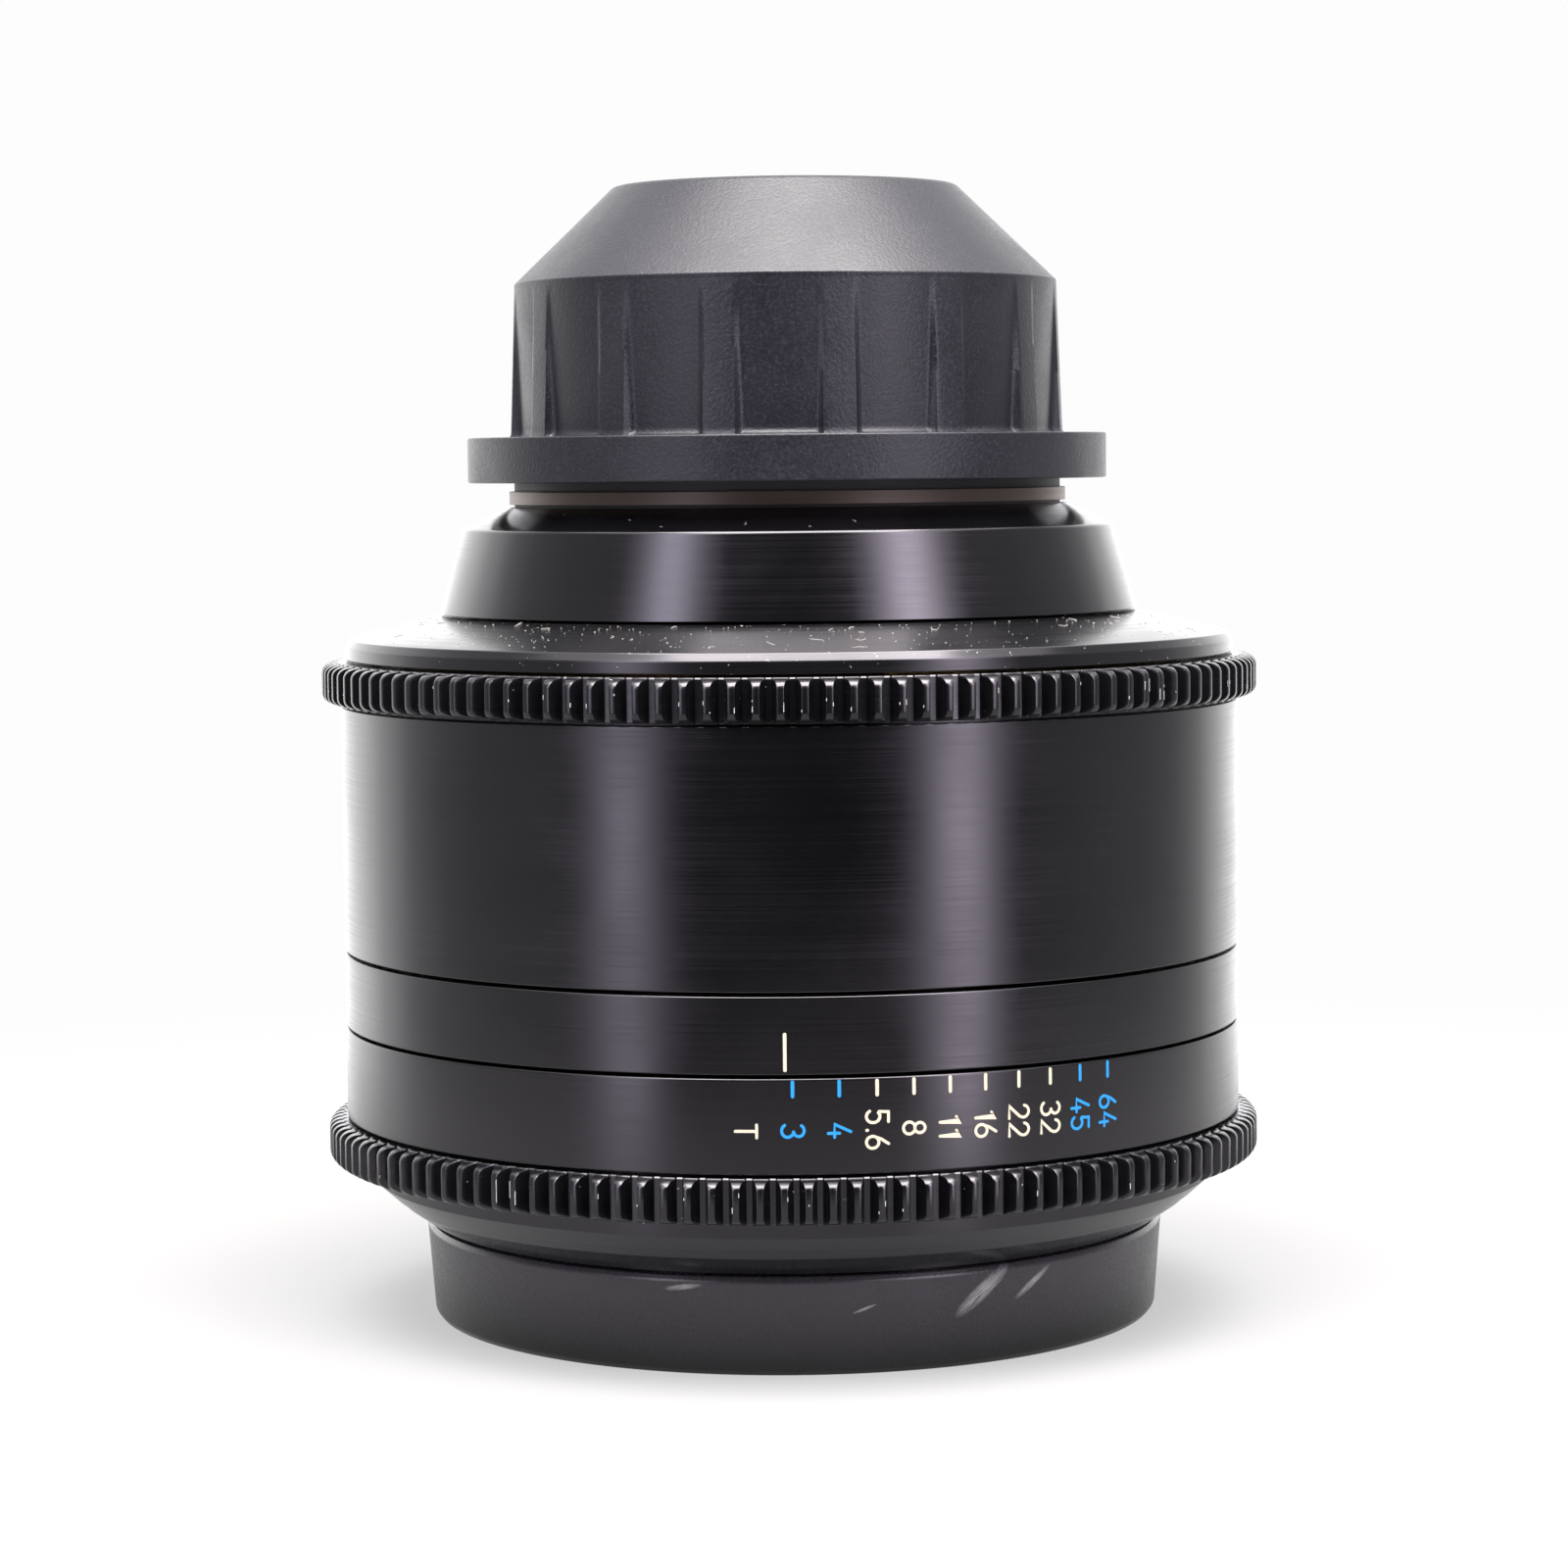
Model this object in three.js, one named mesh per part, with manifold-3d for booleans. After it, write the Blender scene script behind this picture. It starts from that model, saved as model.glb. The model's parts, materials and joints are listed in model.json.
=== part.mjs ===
// A cinema macro lens, standing face down on its front cap with its rear cap on.
//
// Millimetres, +Z up. The optical axis is Z, the origin is on it at the foot of the front cap,
// and -Y is the side that carries the index line. The lens focuses as a unit: turning the focus
// ring drives three cam followers along straight slots in the guide tube, and the rear housing
// slides away from the front of the lens. The T-stop ring turns a cam ring that swings eight iris
// blades about pivots in a fixed plate.
import * as THREE from "three";
import { mergeVertices } from "three/addons/utils/BufferGeometryUtils.js";
import Module from "manifold-3d";

const wasm = await Module();
wasm.setup();

// Clearances and facet counts
const GAP = 0.3;
const OUTER_SIDES = 36;
const INNER_SIDES = 28;
const GLASS_SIDES = 20;
const PIN_SIDES = 6;

// Follow gears: module 0.8 with 132 teeth
const MODULE = 0.8;
const TEETH = 132;
const GEAR_TIP_R = (MODULE * (TEETH + 2)) / 2;
const GEAR_ROOT_R = GEAR_TIP_R - 2.25 * MODULE;
const TOOTH_TIP_SHARE = 0.34;
const TOOTH_FOOT_SHARE = 0.72;

// Outside radii
const BARREL_R = 51.5;
const DECK_R = 50.35;
const CONE_FOOT_R = 40.0;
const CONE_TOP_R = 37.3;
const SHIM_R = 31.9;
const CAP_SKIRT_R = 36.6;
const CAP_GRIP_R = 31.65;
const CAP_GRIP_TOP_R = 31.0;
const CAP_TOP_R = 19.55;
const NOSE_R = 48.6;
const NOSE_TIP_R = 42.3;
const SPIGOT_R = 40.0;
const NOSE_BORE_R = 38.4;
const FRONT_CAP_R = 42.5;
const FRONT_CAP_FOOT_R = 41.75;
const FRONT_CAP_BASE_R = 41.3;

// Heights on the axis, from the table up
const FRONT_CAP_TOP = 10.85;
const NOSE_FOOT = 11.15;
const NOSE_TOP = 17.7;
const FRONT_CELL_FOOT = 15.6;
const IRIS_GEAR_FOOT = 18.1;
const IRIS_GEAR_TOP = 23.05;
const T_RING_TOP = 33.5;
const INDEX_FOOT = 34.1;
const INDEX_TOP = 42.1;
const REAR_CELL_FOOT = 34.6;
const FOCUS_FOOT = 42.5;
const FOCUS_TOP = 70.2;
const FOCUS_GEAR_FOOT = 70.5;
const FOCUS_GEAR_TOP = 75.3;
const HOUSING_FOOT = 75.6;
const HOUSING_RIM_TOP = 76.9;
const DECK_EDGE = 77.8;
const DECK_TOP = 80.3;
const CONE_SHOULDER = 90.1;
const CONE_TOP = 92.6;
const SHIM_FOOT = 92.9;
const SHIM_TOP = 94.4;
const FLANGE_FOOT = 94.7;
const FLANGE_TOP = 97.7;
const MOUNT_TUBE_TOP = 114.7;
const CAP_FOOT = 95.4;
const CAP_SKIRT_TOP = 100.5;
const CAP_GRIP_TOP = 117.9;
const CAP_TOP = 128.9;

// Bayonet mount
const THROAT_R = 25.0;
const MOUNT_TUBE_R = 27.0;
const FLANGE_R = 31.0;
const TAB_R = 34.2;
const TAB_HALF_ANGLE = radians(24);
const TABS = 4;
const KEYWAY = 3.0;
const SCREW_CIRCLE_R = 29.1;
const SCREW_HEAD_R = 1.4;
const SCREW_SHANK_R = 0.85;
const SCREW_HEAD_H = 1.5;
const SCREW_L = 7.6;
const HOUSING_BORE_R = 26.2;

// Fluted rear cap
const FLUTES = 15;
const FLUTE_HALF_ANGLE = radians(8.35);
const FLUTE_FOOT_R = 30.5;
const FLUTE_FOOT = 100.8;
const FLUTE_TOP = 117.6;
const RIB_OFFSET = radians(10.6);

// Focus drive
const FOCUS_TURN = radians(270);
const FOCUS_TRAVEL = 24;
const FOLLOWERS = 3;
const FOLLOWER_R = 1.4;
const FOLLOWER_Z = 71.5;
const FOLLOWER_IN_R = 40.6;
const FOLLOWER_OUT_R = 46.9;
const SLEEVE_R = 42.4;
const GUIDE_R = 42.9;
const GUIDE_WALL = 2.0;
const CAM_R = 45.6;
const CAM_WALL = 1.7;

// Iris
const BLADES = 8;
const RING_TURN = radians(42);
const BLADE_TURN = radians(30);
const STOP_R = 14.4;
const CRESCENT_R = 22.0;
const CRESCENT_SPAN = radians(100);
const PIVOT_R = 25.5;
const DRIVE_ARM = 6.0;
const EAR_R = 27.8;
const BLADE_T = 0.2;
const BLADE_PITCH = 0.4;
const FIRST_BLADE_Z = 27.3;
const BLADE_PIN_R = 0.6;
const BASE_PLATE_Z = 25.6;
const BASE_PLATE_T = 1.3;
const CAM_RING_Z = 30.6;
const CAM_RING_T = 1.6;
const CAM_RING_IN_R = 23.6;
const CAM_RING_OUT_R = 37.6;
const DRIVE_PIN_R = 1.2;
const DRIVE_PIN_IN_R = 34.9;
const DRIVE_PIN_OUT_R = 46.3;
const DRIVE_PIN_AZIMUTH = radians(90);
const DRIVE_PIN_Z = CAM_RING_Z + CAM_RING_T / 2;

// Optics
const ELEMENT_R = 20.4;
const ELEMENT_2_R = 20.2;
const FRONT_ELEMENT_R = 26.0;
const CELL_BORE_R = 20.8;
const REAR_CELL_R = 24.2;
const REAR_CELL_TOP = 95.4;
const SPACER_BORE_R = 18.6;
const SPACER_FOOT = 54.0;
const SPACER_TOP = 84.6;
const RETAINER_BORE_R = 17.8;
const RETAINER_FOOT = 89.3;
const RETAINER_TOP = 94.9;

// Materials
const satinBlack = { color: 0x17161a, roughness: 0.42, metalness: 0.6 };
const barrelBlack = { color: 0x1d1b20, roughness: 0.36, metalness: 0.7 };
const gearBlack = { color: 0x141416, roughness: 0.3, metalness: 0.5 };
const matteBlack = { color: 0x101011, roughness: 0.8, metalness: 0.1 };
const capPlastic = { color: 0x232326, roughness: 0.65, metalness: 0.0 };
const brownMetal = { color: 0x4a3a30, roughness: 0.4, metalness: 0.9 };
const steel = { color: 0xb8b8bc, roughness: 0.3, metalness: 1.0 };
const brass = { color: 0xb08d4a, roughness: 0.4, metalness: 1.0 };
const bladeBlack = { color: 0x2a2b2e, roughness: 0.5, metalness: 0.7 };
const glass = { color: 0xaab4c8, roughness: 0.02, metalness: 0.0, transparent: true, opacity: 0.35 };

function radians(degrees) {
  return (degrees * Math.PI) / 180;
}

// Solid of a three.js geometry whose surface is closed.
function solidOf(geometry) {
  geometry.deleteAttribute("normal");
  geometry.deleteAttribute("uv");
  const merged = mergeVertices(geometry, 1e-4);
  const mesh = new wasm.Mesh({
    numProp: 3,
    vertProperties: merged.attributes.position.array,
    triVerts: new Uint32Array(merged.index.array),
  });
  return new wasm.Manifold(mesh);
}

function geometryOf(solid) {
  const mesh = solid.getMesh();
  const geometry = new THREE.BufferGeometry();
  geometry.setAttribute("position", new THREE.BufferAttribute(mesh.vertProperties, 3));
  geometry.setIndex(new THREE.BufferAttribute(mesh.triVerts, 1));
  geometry.computeVertexNormals();
  return geometry;
}

function addPiece(group, name, solid, look) {
  const mesh = new THREE.Mesh(geometryOf(solid), new THREE.MeshStandardMaterial(look));
  mesh.name = name;
  group.add(mesh);
  return mesh;
}

// Solid of revolution of [radius, height] points, in order up the outside and down the inside.
function turned(profile, sides = OUTER_SIDES) {
  const points = profile.map(([r, z]) => new THREE.Vector2(r, z));
  const onAxis = profile[0][0] === 0;
  if (!onAxis) points.push(points[0].clone());
  const geometry = new THREE.LatheGeometry(points, sides);
  geometry.rotateX(Math.PI / 2);
  return solidOf(geometry);
}

// Ring between two radii and two heights.
function ring(inR, outR, foot, top, sides = OUTER_SIDES) {
  return turned([[inR, foot], [outR, foot], [outR, top], [inR, top]], sides);
}

// Flat outline raised from one height to another.
function raised(shape, foot, top, curveSegments = 12) {
  const geometry = new THREE.ExtrudeGeometry(shape, {
    depth: top - foot,
    bevelEnabled: false,
    curveSegments,
  });
  geometry.translate(0, 0, foot);
  return solidOf(geometry);
}

// Round pin standing along Z at (x, y).
function standingPin(radius, foot, top, x, y) {
  const geometry = new THREE.CylinderGeometry(radius, radius, top - foot, PIN_SIDES);
  geometry.rotateX(Math.PI / 2);
  geometry.translate(x, y, (foot + top) / 2);
  return solidOf(geometry);
}

// Round pin along the radius at an azimuth, from one radius to another.
function radialPin(radius, inR, outR, z, azimuth) {
  const geometry = new THREE.CylinderGeometry(radius, radius, outR - inR, PIN_SIDES);
  geometry.rotateZ(Math.PI / 2);
  geometry.translate((inR + outR) / 2, 0, z);
  geometry.rotateZ(azimuth);
  return solidOf(geometry);
}

// Straight bar wrapped round the axis. The bar runs over `turn` radians, and `place` gives its
// mid radius and mid height at each share of the run. `lean` tips its faces outwards with height.
function wrappedBar({ start, turn, thickness, height, steps, place, lean = 0 }) {
  const geometry = new THREE.BoxGeometry(1, thickness, height, steps, 1, 1);
  const position = geometry.attributes.position;
  for (let i = 0; i < position.count; i++) {
    const share = position.getX(i) + 0.5;
    const middle = place(share);
    const azimuth = start + share * turn;
    const outwards = position.getY(i) * Math.sign(-turn) + lean * position.getZ(i);
    const radius = middle.radius + outwards;
    position.setXYZ(
      i,
      radius * Math.cos(azimuth),
      radius * Math.sin(azimuth),
      middle.z + position.getZ(i),
    );
  }
  return solidOf(geometry);
}

function gear(inR, foot, top) {
  const pitch = (2 * Math.PI) / TEETH;
  const corners = [
    [GEAR_ROOT_R, -TOOTH_FOOT_SHARE / 2],
    [GEAR_TIP_R, -TOOTH_TIP_SHARE / 2],
    [GEAR_TIP_R, TOOTH_TIP_SHARE / 2],
    [GEAR_ROOT_R, TOOTH_FOOT_SHARE / 2],
  ];
  const outline = [];
  for (let tooth = 0; tooth < TEETH; tooth++) {
    for (const [r, share] of corners) {
      const azimuth = (tooth + share) * pitch;
      outline.push(new THREE.Vector2(r * Math.cos(azimuth), r * Math.sin(azimuth)));
    }
  }
  const shape = new THREE.Shape(outline);
  shape.holes.push(new THREE.Path().absarc(0, 0, inR, 0, 2 * Math.PI, true));
  return raised(shape, foot, top, OUTER_SIDES / 2);
}

// Mount screw, or the hole that it passes through when `room` is more than 0.
function mountScrew(number, room = 0) {
  const azimuth = ((number + 0.5) * 2 * Math.PI) / TABS;
  const x = SCREW_CIRCLE_R * Math.cos(azimuth);
  const y = SCREW_CIRCLE_R * Math.sin(azimuth);
  const top = room > 0 ? FLANGE_TOP + 1 : FLANGE_TOP - 0.2;
  const seat = FLANGE_TOP - 0.2 - SCREW_HEAD_H - room;
  const tip = FLANGE_TOP - 0.2 - SCREW_L - room;
  const head = standingPin(SCREW_HEAD_R + room, seat, top, x, y);
  const shank = standingPin(SCREW_SHANK_R + room, tip, seat + 0.5, x, y);
  return head.add(shank);
}

function withScrewHoles(solid) {
  let drilled = solid;
  for (let number = 0; number < TABS; number++) {
    drilled = drilled.subtract(mountScrew(number, GAP));
  }
  return drilled;
}

// Housing: the fixed rear of the lens

function rearHousing() {
  const rimIn = 48.8;
  const rimOut = BARREL_R - 0.6;
  const recess = 1.0;
  const seat = 0.1;
  return turned([
    [HOUSING_BORE_R, HOUSING_FOOT + recess],
    [rimIn, HOUSING_FOOT + recess],
    [rimIn, HOUSING_FOOT],
    [rimOut, HOUSING_FOOT],
    [rimOut, HOUSING_RIM_TOP],
    [DECK_R, DECK_EDGE],
    [CONE_FOOT_R + seat, DECK_TOP],
    [HOUSING_BORE_R, DECK_TOP],
  ]);
}

function mountCone() {
  const wall = 3.2;
  const plate = 3.8;
  const seat = 0.2;
  const ceiling = CONE_TOP - plate;
  return withScrewHoles(
    turned([
      [CONE_FOOT_R - wall, DECK_TOP + GAP],
      [CONE_FOOT_R, DECK_TOP + GAP],
      [CONE_TOP_R, CONE_SHOULDER],
      [SHIM_R + seat, CONE_TOP],
      [HOUSING_BORE_R, CONE_TOP],
      [HOUSING_BORE_R, ceiling],
      [CONE_TOP_R - wall, ceiling],
    ]),
  );
}

function mountShimRing() {
  return withScrewHoles(ring(HOUSING_BORE_R, SHIM_R, SHIM_FOOT, SHIM_TOP));
}

// Flange with four tabs and the tube behind it.
function bayonetMount() {
  const quarter = (2 * Math.PI) / TABS;
  const chamfer = 0.8;
  const joint = 0.6;
  const shape = new THREE.Shape();
  for (let tab = 0; tab < TABS; tab++) {
    const middle = tab * quarter;
    shape.absarc(0, 0, TAB_R, middle - TAB_HALF_ANGLE, middle + TAB_HALF_ANGLE, false);
    const next = middle + quarter;
    shape.absarc(0, 0, FLANGE_R, middle + TAB_HALF_ANGLE, next - TAB_HALF_ANGLE, false);
  }
  shape.closePath();
  shape.holes.push(new THREE.Path().absarc(0, 0, MOUNT_TUBE_R - joint, 0, 2 * Math.PI, true));
  const flange = raised(shape, FLANGE_FOOT, FLANGE_TOP, 5);
  const tube = turned(
    [
      [THROAT_R, FLANGE_FOOT],
      [MOUNT_TUBE_R, FLANGE_FOOT],
      [MOUNT_TUBE_R, MOUNT_TUBE_TOP - chamfer],
      [MOUNT_TUBE_R - chamfer, MOUNT_TUBE_TOP],
      [THROAT_R, MOUNT_TUBE_TOP],
    ],
    INNER_SIDES,
  );
  const keyway = new THREE.BoxGeometry(KEYWAY, KEYWAY, 2 * (FLANGE_TOP - FLANGE_FOOT));
  keyway.translate(0, TAB_R - 0.5, FLANGE_TOP);
  return withScrewHoles(flange.add(tube).subtract(solidOf(keyway)));
}

function rearLightBaffle() {
  const opening = 18;
  const bevel = 0.6;
  const rim = THROAT_R - 0.4;
  const foot = MOUNT_TUBE_TOP - 2.5;
  const top = foot + 1.4;
  return turned([[opening, foot], [rim, foot], [rim, top], [opening + bevel, top]]);
}

// Tube with a straight slot along the axis for each cam follower.
function guideTube() {
  const slotRoom = 1.9;
  const foot = INDEX_TOP + 0.9;
  const top = HOUSING_FOOT + 0.7;
  let tube = ring(GUIDE_R, GUIDE_R + GUIDE_WALL, foot, top, INNER_SIDES);
  const length = FOCUS_TRAVEL + 2 * slotRoom;
  for (let follower = 0; follower < FOLLOWERS; follower++) {
    const slot = new THREE.BoxGeometry(3 * GUIDE_WALL, 2 * (FOLLOWER_R + GAP), length);
    slot.translate(GUIDE_R + GUIDE_WALL / 2, 0, FOLLOWER_Z - FOCUS_TRAVEL / 2);
    slot.rotateZ(followerAzimuth(follower));
    tube = tube.subtract(solidOf(slot));
  }
  return tube;
}

function followerAzimuth(follower) {
  return Math.PI / 2 + (follower * 2 * Math.PI) / FOLLOWERS;
}

// Focus ring: barrel, gear and the cam tube that they turn

function focusBarrel() {
  const bore = 49.2;
  const collarIn = CAM_R + CAM_WALL + 0.4;
  const collarTop = FOCUS_GEAR_TOP - 0.1;
  const collarFoot = FOCUS_TOP - 4.0;
  return turned([
    [bore, FOCUS_FOOT],
    [BARREL_R, FOCUS_FOOT],
    [BARREL_R, FOCUS_TOP],
    [bore, FOCUS_TOP],
    [bore, collarTop],
    [collarIn, collarTop],
    [collarIn, collarFoot],
    [bore, collarFoot],
  ]);
}

// Tube with a helical slot for each cam follower, falling the focus travel over the focus turn.
function camTube() {
  const foot = INDEX_TOP + 1.3;
  const top = HOUSING_FOOT - 0.4;
  let tube = ring(CAM_R, CAM_R + CAM_WALL, foot, top, INNER_SIDES);
  const overrun = 0.045;
  const turn = FOCUS_TURN + 2 * overrun;
  for (let follower = 0; follower < FOLLOWERS; follower++) {
    const slot = wrappedBar({
      start: followerAzimuth(follower) + overrun,
      turn: -turn,
      thickness: 3 * CAM_WALL,
      height: 2 * (FOLLOWER_R + 0.4),
      steps: 15,
      place: (share) => ({
        radius: CAM_R + CAM_WALL / 2,
        z: FOLLOWER_Z - FOCUS_TRAVEL * ((share * turn - overrun) / FOCUS_TURN),
      }),
    });
    tube = tube.subtract(slot);
  }
  return tube;
}

// Front body: all that slides out when the lens is focused

function frontRing() {
  const spigotFoot = 3.5;
  const bandFoot = [45.4, 13.3];
  const bandTop = [46.5, 14.2];
  const neckFoot = 16.0;
  return turned([
    [NOSE_BORE_R, spigotFoot],
    [SPIGOT_R, spigotFoot],
    [SPIGOT_R, NOSE_FOOT],
    [NOSE_TIP_R, NOSE_FOOT],
    bandFoot,
    [bandTop[0] - 0.15, bandTop[1]],
    bandTop,
    [NOSE_R - 0.1, neckFoot],
    [NOSE_R, neckFoot + 0.1],
    [NOSE_R, NOSE_TOP],
    [NOSE_BORE_R, NOSE_TOP],
  ]);
}

function frontRetainingRing() {
  const opening = 24.6;
  const out = NOSE_BORE_R - 0.4;
  const rimFoot = 8.0;
  const openingFoot = 14.0;
  const profile = [
    [opening, openingFoot],
    [out - 0.8, rimFoot],
    [out, rimFoot],
    [out, FRONT_CELL_FOOT - GAP],
    [opening, FRONT_CELL_FOOT - GAP],
  ];
  return turned(profile, INNER_SIDES);
}

function frontCell() {
  const shoulder = 20.9;
  const out = CAM_RING_OUT_R + GAP;
  const top = BASE_PLATE_Z - GAP;
  const room = 0.4;
  return turned(
    [
      [FRONT_ELEMENT_R + room, FRONT_CELL_FOOT],
      [out, FRONT_CELL_FOOT],
      [out, top],
      [ELEMENT_2_R + room, top],
      [ELEMENT_2_R + room, shoulder],
      [FRONT_ELEMENT_R + room, shoulder],
    ],
    INNER_SIDES,
  );
}

// Drum round the iris, with the arc slot that the drive pin sweeps.
function irisHousing() {
  const bore = 38.3;
  const out = 42.2;
  const lidBore = CAM_RING_IN_R - 0.6;
  const ceiling = CAM_RING_Z + CAM_RING_T + 0.4;
  const top = INDEX_FOOT + 0.1;
  const drum = turned(
    [
      [bore, NOSE_TOP + GAP],
      [out, NOSE_TOP + GAP],
      [out, top],
      [lidBore, top],
      [lidBore, ceiling],
      [bore, ceiling],
    ],
    INNER_SIDES,
  );
  const room = (DRIVE_PIN_R + 0.6) / bore;
  const slot = wrappedBar({
    start: DRIVE_PIN_AZIMUTH + room,
    turn: -(RING_TURN + 2 * room),
    thickness: 5.6,
    height: 2 * (DRIVE_PIN_R + 0.4),
    steps: 5,
    place: () => ({ radius: bore + 2.6, z: DRIVE_PIN_Z }),
  });
  return drum.subtract(slot);
}

function innerBarrel() {
  const bore = 39.9;
  const floorBore = CELL_BORE_R + 4;
  const foot = REAR_CELL_FOOT;
  const floor = foot + 3.4;
  const top = FOLLOWER_Z + 2.5;
  let barrel = turned(
    [
      [floorBore, foot],
      [SLEEVE_R, foot],
      [SLEEVE_R, top],
      [bore, top],
      [bore, floor],
      [floorBore, floor],
    ],
    INNER_SIDES,
  );
  for (let follower = 0; follower < FOLLOWERS; follower++) {
    const azimuth = followerAzimuth(follower);
    barrel = barrel.subtract(
      radialPin(FOLLOWER_R + 0.35, bore - 1, SLEEVE_R + 1, FOLLOWER_Z, azimuth),
    );
  }
  return barrel;
}

function indexRing() {
  const bore = SLEEVE_R + 0.5;
  const skirtBore = BARREL_R - 2.1;
  const web = INDEX_TOP - 2.5;
  return turned([
    [skirtBore, INDEX_FOOT],
    [BARREL_R, INDEX_FOOT],
    [BARREL_R, INDEX_TOP],
    [bore, INDEX_TOP],
    [bore, web],
    [skirtBore, web],
  ]);
}

function irisBasePlate() {
  let plate = ring(
    STOP_R + 0.2,
    CAM_RING_OUT_R + 0.3,
    BASE_PLATE_Z,
    BASE_PLATE_Z + BASE_PLATE_T,
    INNER_SIDES,
  );
  for (let blade = 0; blade < BLADES; blade++) {
    const azimuth = bladeAzimuth(blade);
    const x = PIVOT_R * Math.cos(azimuth);
    const y = PIVOT_R * Math.sin(azimuth);
    plate = plate.subtract(
      standingPin(BLADE_PIN_R + GAP, BASE_PLATE_Z - 1, BASE_PLATE_Z + BASE_PLATE_T + 1, x, y),
    );
  }
  return plate;
}

function bladeAzimuth(blade) {
  return (blade * 2 * Math.PI) / BLADES;
}

// Iris ring: T-stop scale, gear, drive pin and cam ring

function tScaleRing() {
  const spigotIn = 46.6;
  const spigotOut = 48.6;
  const bore = 42.8;
  const spigotFoot = IRIS_GEAR_FOOT + 0.2;
  const flangeFoot = 29.4;
  const body = turned([
    [spigotIn, spigotFoot],
    [spigotOut, spigotFoot],
    [spigotOut, IRIS_GEAR_TOP + GAP],
    [BARREL_R, IRIS_GEAR_TOP + GAP],
    [BARREL_R, T_RING_TOP],
    [bore, T_RING_TOP],
    [bore, flangeFoot],
    [spigotIn, flangeFoot],
  ]);
  const socket = radialPin(
    DRIVE_PIN_R + GAP,
    bore - 1,
    DRIVE_PIN_OUT_R + GAP,
    DRIVE_PIN_Z,
    DRIVE_PIN_AZIMUTH,
  );
  return body.subtract(socket);
}

// Path of a blade's drive pin, seen from the turning cam ring, at a share of the full turn.
function drivePinOnCamRing(share) {
  const swing = share * BLADE_TURN;
  const x = PIVOT_R + DRIVE_ARM * Math.sin(swing);
  const y = DRIVE_ARM * Math.cos(swing);
  return { radius: Math.hypot(x, y), azimuth: Math.atan2(y, x) + share * RING_TURN };
}

function irisCamRing() {
  let cam = ring(
    CAM_RING_IN_R,
    CAM_RING_OUT_R,
    CAM_RING_Z,
    CAM_RING_Z + CAM_RING_T,
    INNER_SIDES,
  );
  const start = drivePinOnCamRing(0).azimuth;
  const end = drivePinOnCamRing(1).azimuth;
  const slotHalf = BLADE_PIN_R + GAP;
  const overrun = slotHalf / drivePinOnCamRing(0.5).radius;
  for (let blade = 0; blade < BLADES; blade++) {
    const slot = wrappedBar({
      start: bladeAzimuth(blade) + start - overrun,
      turn: end - start + 2 * overrun,
      thickness: 2 * slotHalf,
      height: 3 * CAM_RING_T,
      steps: 4,
      place: (share) => ({ radius: drivePinOnCamRing(share).radius, z: DRIVE_PIN_Z }),
    });
    cam = cam.subtract(slot);
  }
  const notch = new THREE.BoxGeometry(6, 2 * (DRIVE_PIN_R + GAP), 3 * CAM_RING_T);
  notch.translate(DRIVE_PIN_IN_R + 3 - GAP, 0, DRIVE_PIN_Z);
  notch.rotateZ(DRIVE_PIN_AZIMUTH);
  return cam.subtract(solidOf(notch));
}

// Crescent with an ear that carries the pivot pin below and the drive pin above.
function irisBlade(blade) {
  const foot = FIRST_BLADE_Z + blade * BLADE_PITCH;
  const top = foot + BLADE_T;
  const shape = new THREE.Shape();
  shape.absarc(0, 0, STOP_R, -CRESCENT_SPAN, radians(4), false);
  shape.absarc(0, 0, EAR_R, radians(17), radians(-4.5), true);
  shape.absarc(0, 0, CRESCENT_R, radians(-7), -CRESCENT_SPAN, true);
  shape.closePath();
  const pivot = standingPin(BLADE_PIN_R, BASE_PLATE_Z + 0.2, foot + BLADE_T / 2, PIVOT_R, 0);
  const drive = standingPin(
    BLADE_PIN_R,
    foot + BLADE_T / 2,
    CAM_RING_Z + CAM_RING_T - 0.1,
    PIVOT_R,
    DRIVE_ARM,
  );
  return raised(shape, foot, top, 6).add(pivot).add(drive);
}

// Optics

// Glass of revolution. A positive sag bulges the face outwards at the middle.
function lensElement({ radius, foot, top, footSag, topSag }) {
  const rings = 2;
  const face = (height, sag) => (share) => [radius * share, height + sag * share * share];
  const under = face(foot, footSag);
  const over = face(top, -topSag);
  const profile = [];
  for (let i = 0; i <= rings; i++) profile.push(under(i / rings));
  for (let i = rings; i >= 0; i--) profile.push(over(i / rings));
  return turned(profile, GLASS_SIDES);
}

const ELEMENTS = {
  front_element: { radius: FRONT_ELEMENT_R, foot: 13.0, top: 20.6, footSag: 3.4, topSag: 1.4 },
  element_2: { radius: ELEMENT_2_R, foot: 21.1, top: 25.0, footSag: 2.3, topSag: 0 },
  element_3: { radius: ELEMENT_R, foot: 37.8, top: 40.4, footSag: -2.4, topSag: 0 },
  element_4: { radius: ELEMENT_R, foot: 40.9, top: 48.5, footSag: 3.0, topSag: 3.0 },
  element_5: { radius: ELEMENT_R, foot: 49.0, top: 53.5, footSag: 2.3, topSag: 0 },
  rear_element: { radius: ELEMENT_R, foot: 85.0, top: 91.5, footSag: 0, topSag: 3.6 },
};

// Caps

function frontCap() {
  const bore = SPIGOT_R + 0.7;
  const floor = 2.4;
  const chamfer = 0.6;
  return turned([
    [0, 0],
    [FRONT_CAP_BASE_R, 0],
    [FRONT_CAP_FOOT_R, chamfer],
    [FRONT_CAP_R, FRONT_CAP_TOP - chamfer],
    [FRONT_CAP_R - 0.4, FRONT_CAP_TOP],
    [bore, FRONT_CAP_TOP],
    [bore, floor],
    [0, floor],
  ]);
}

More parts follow.
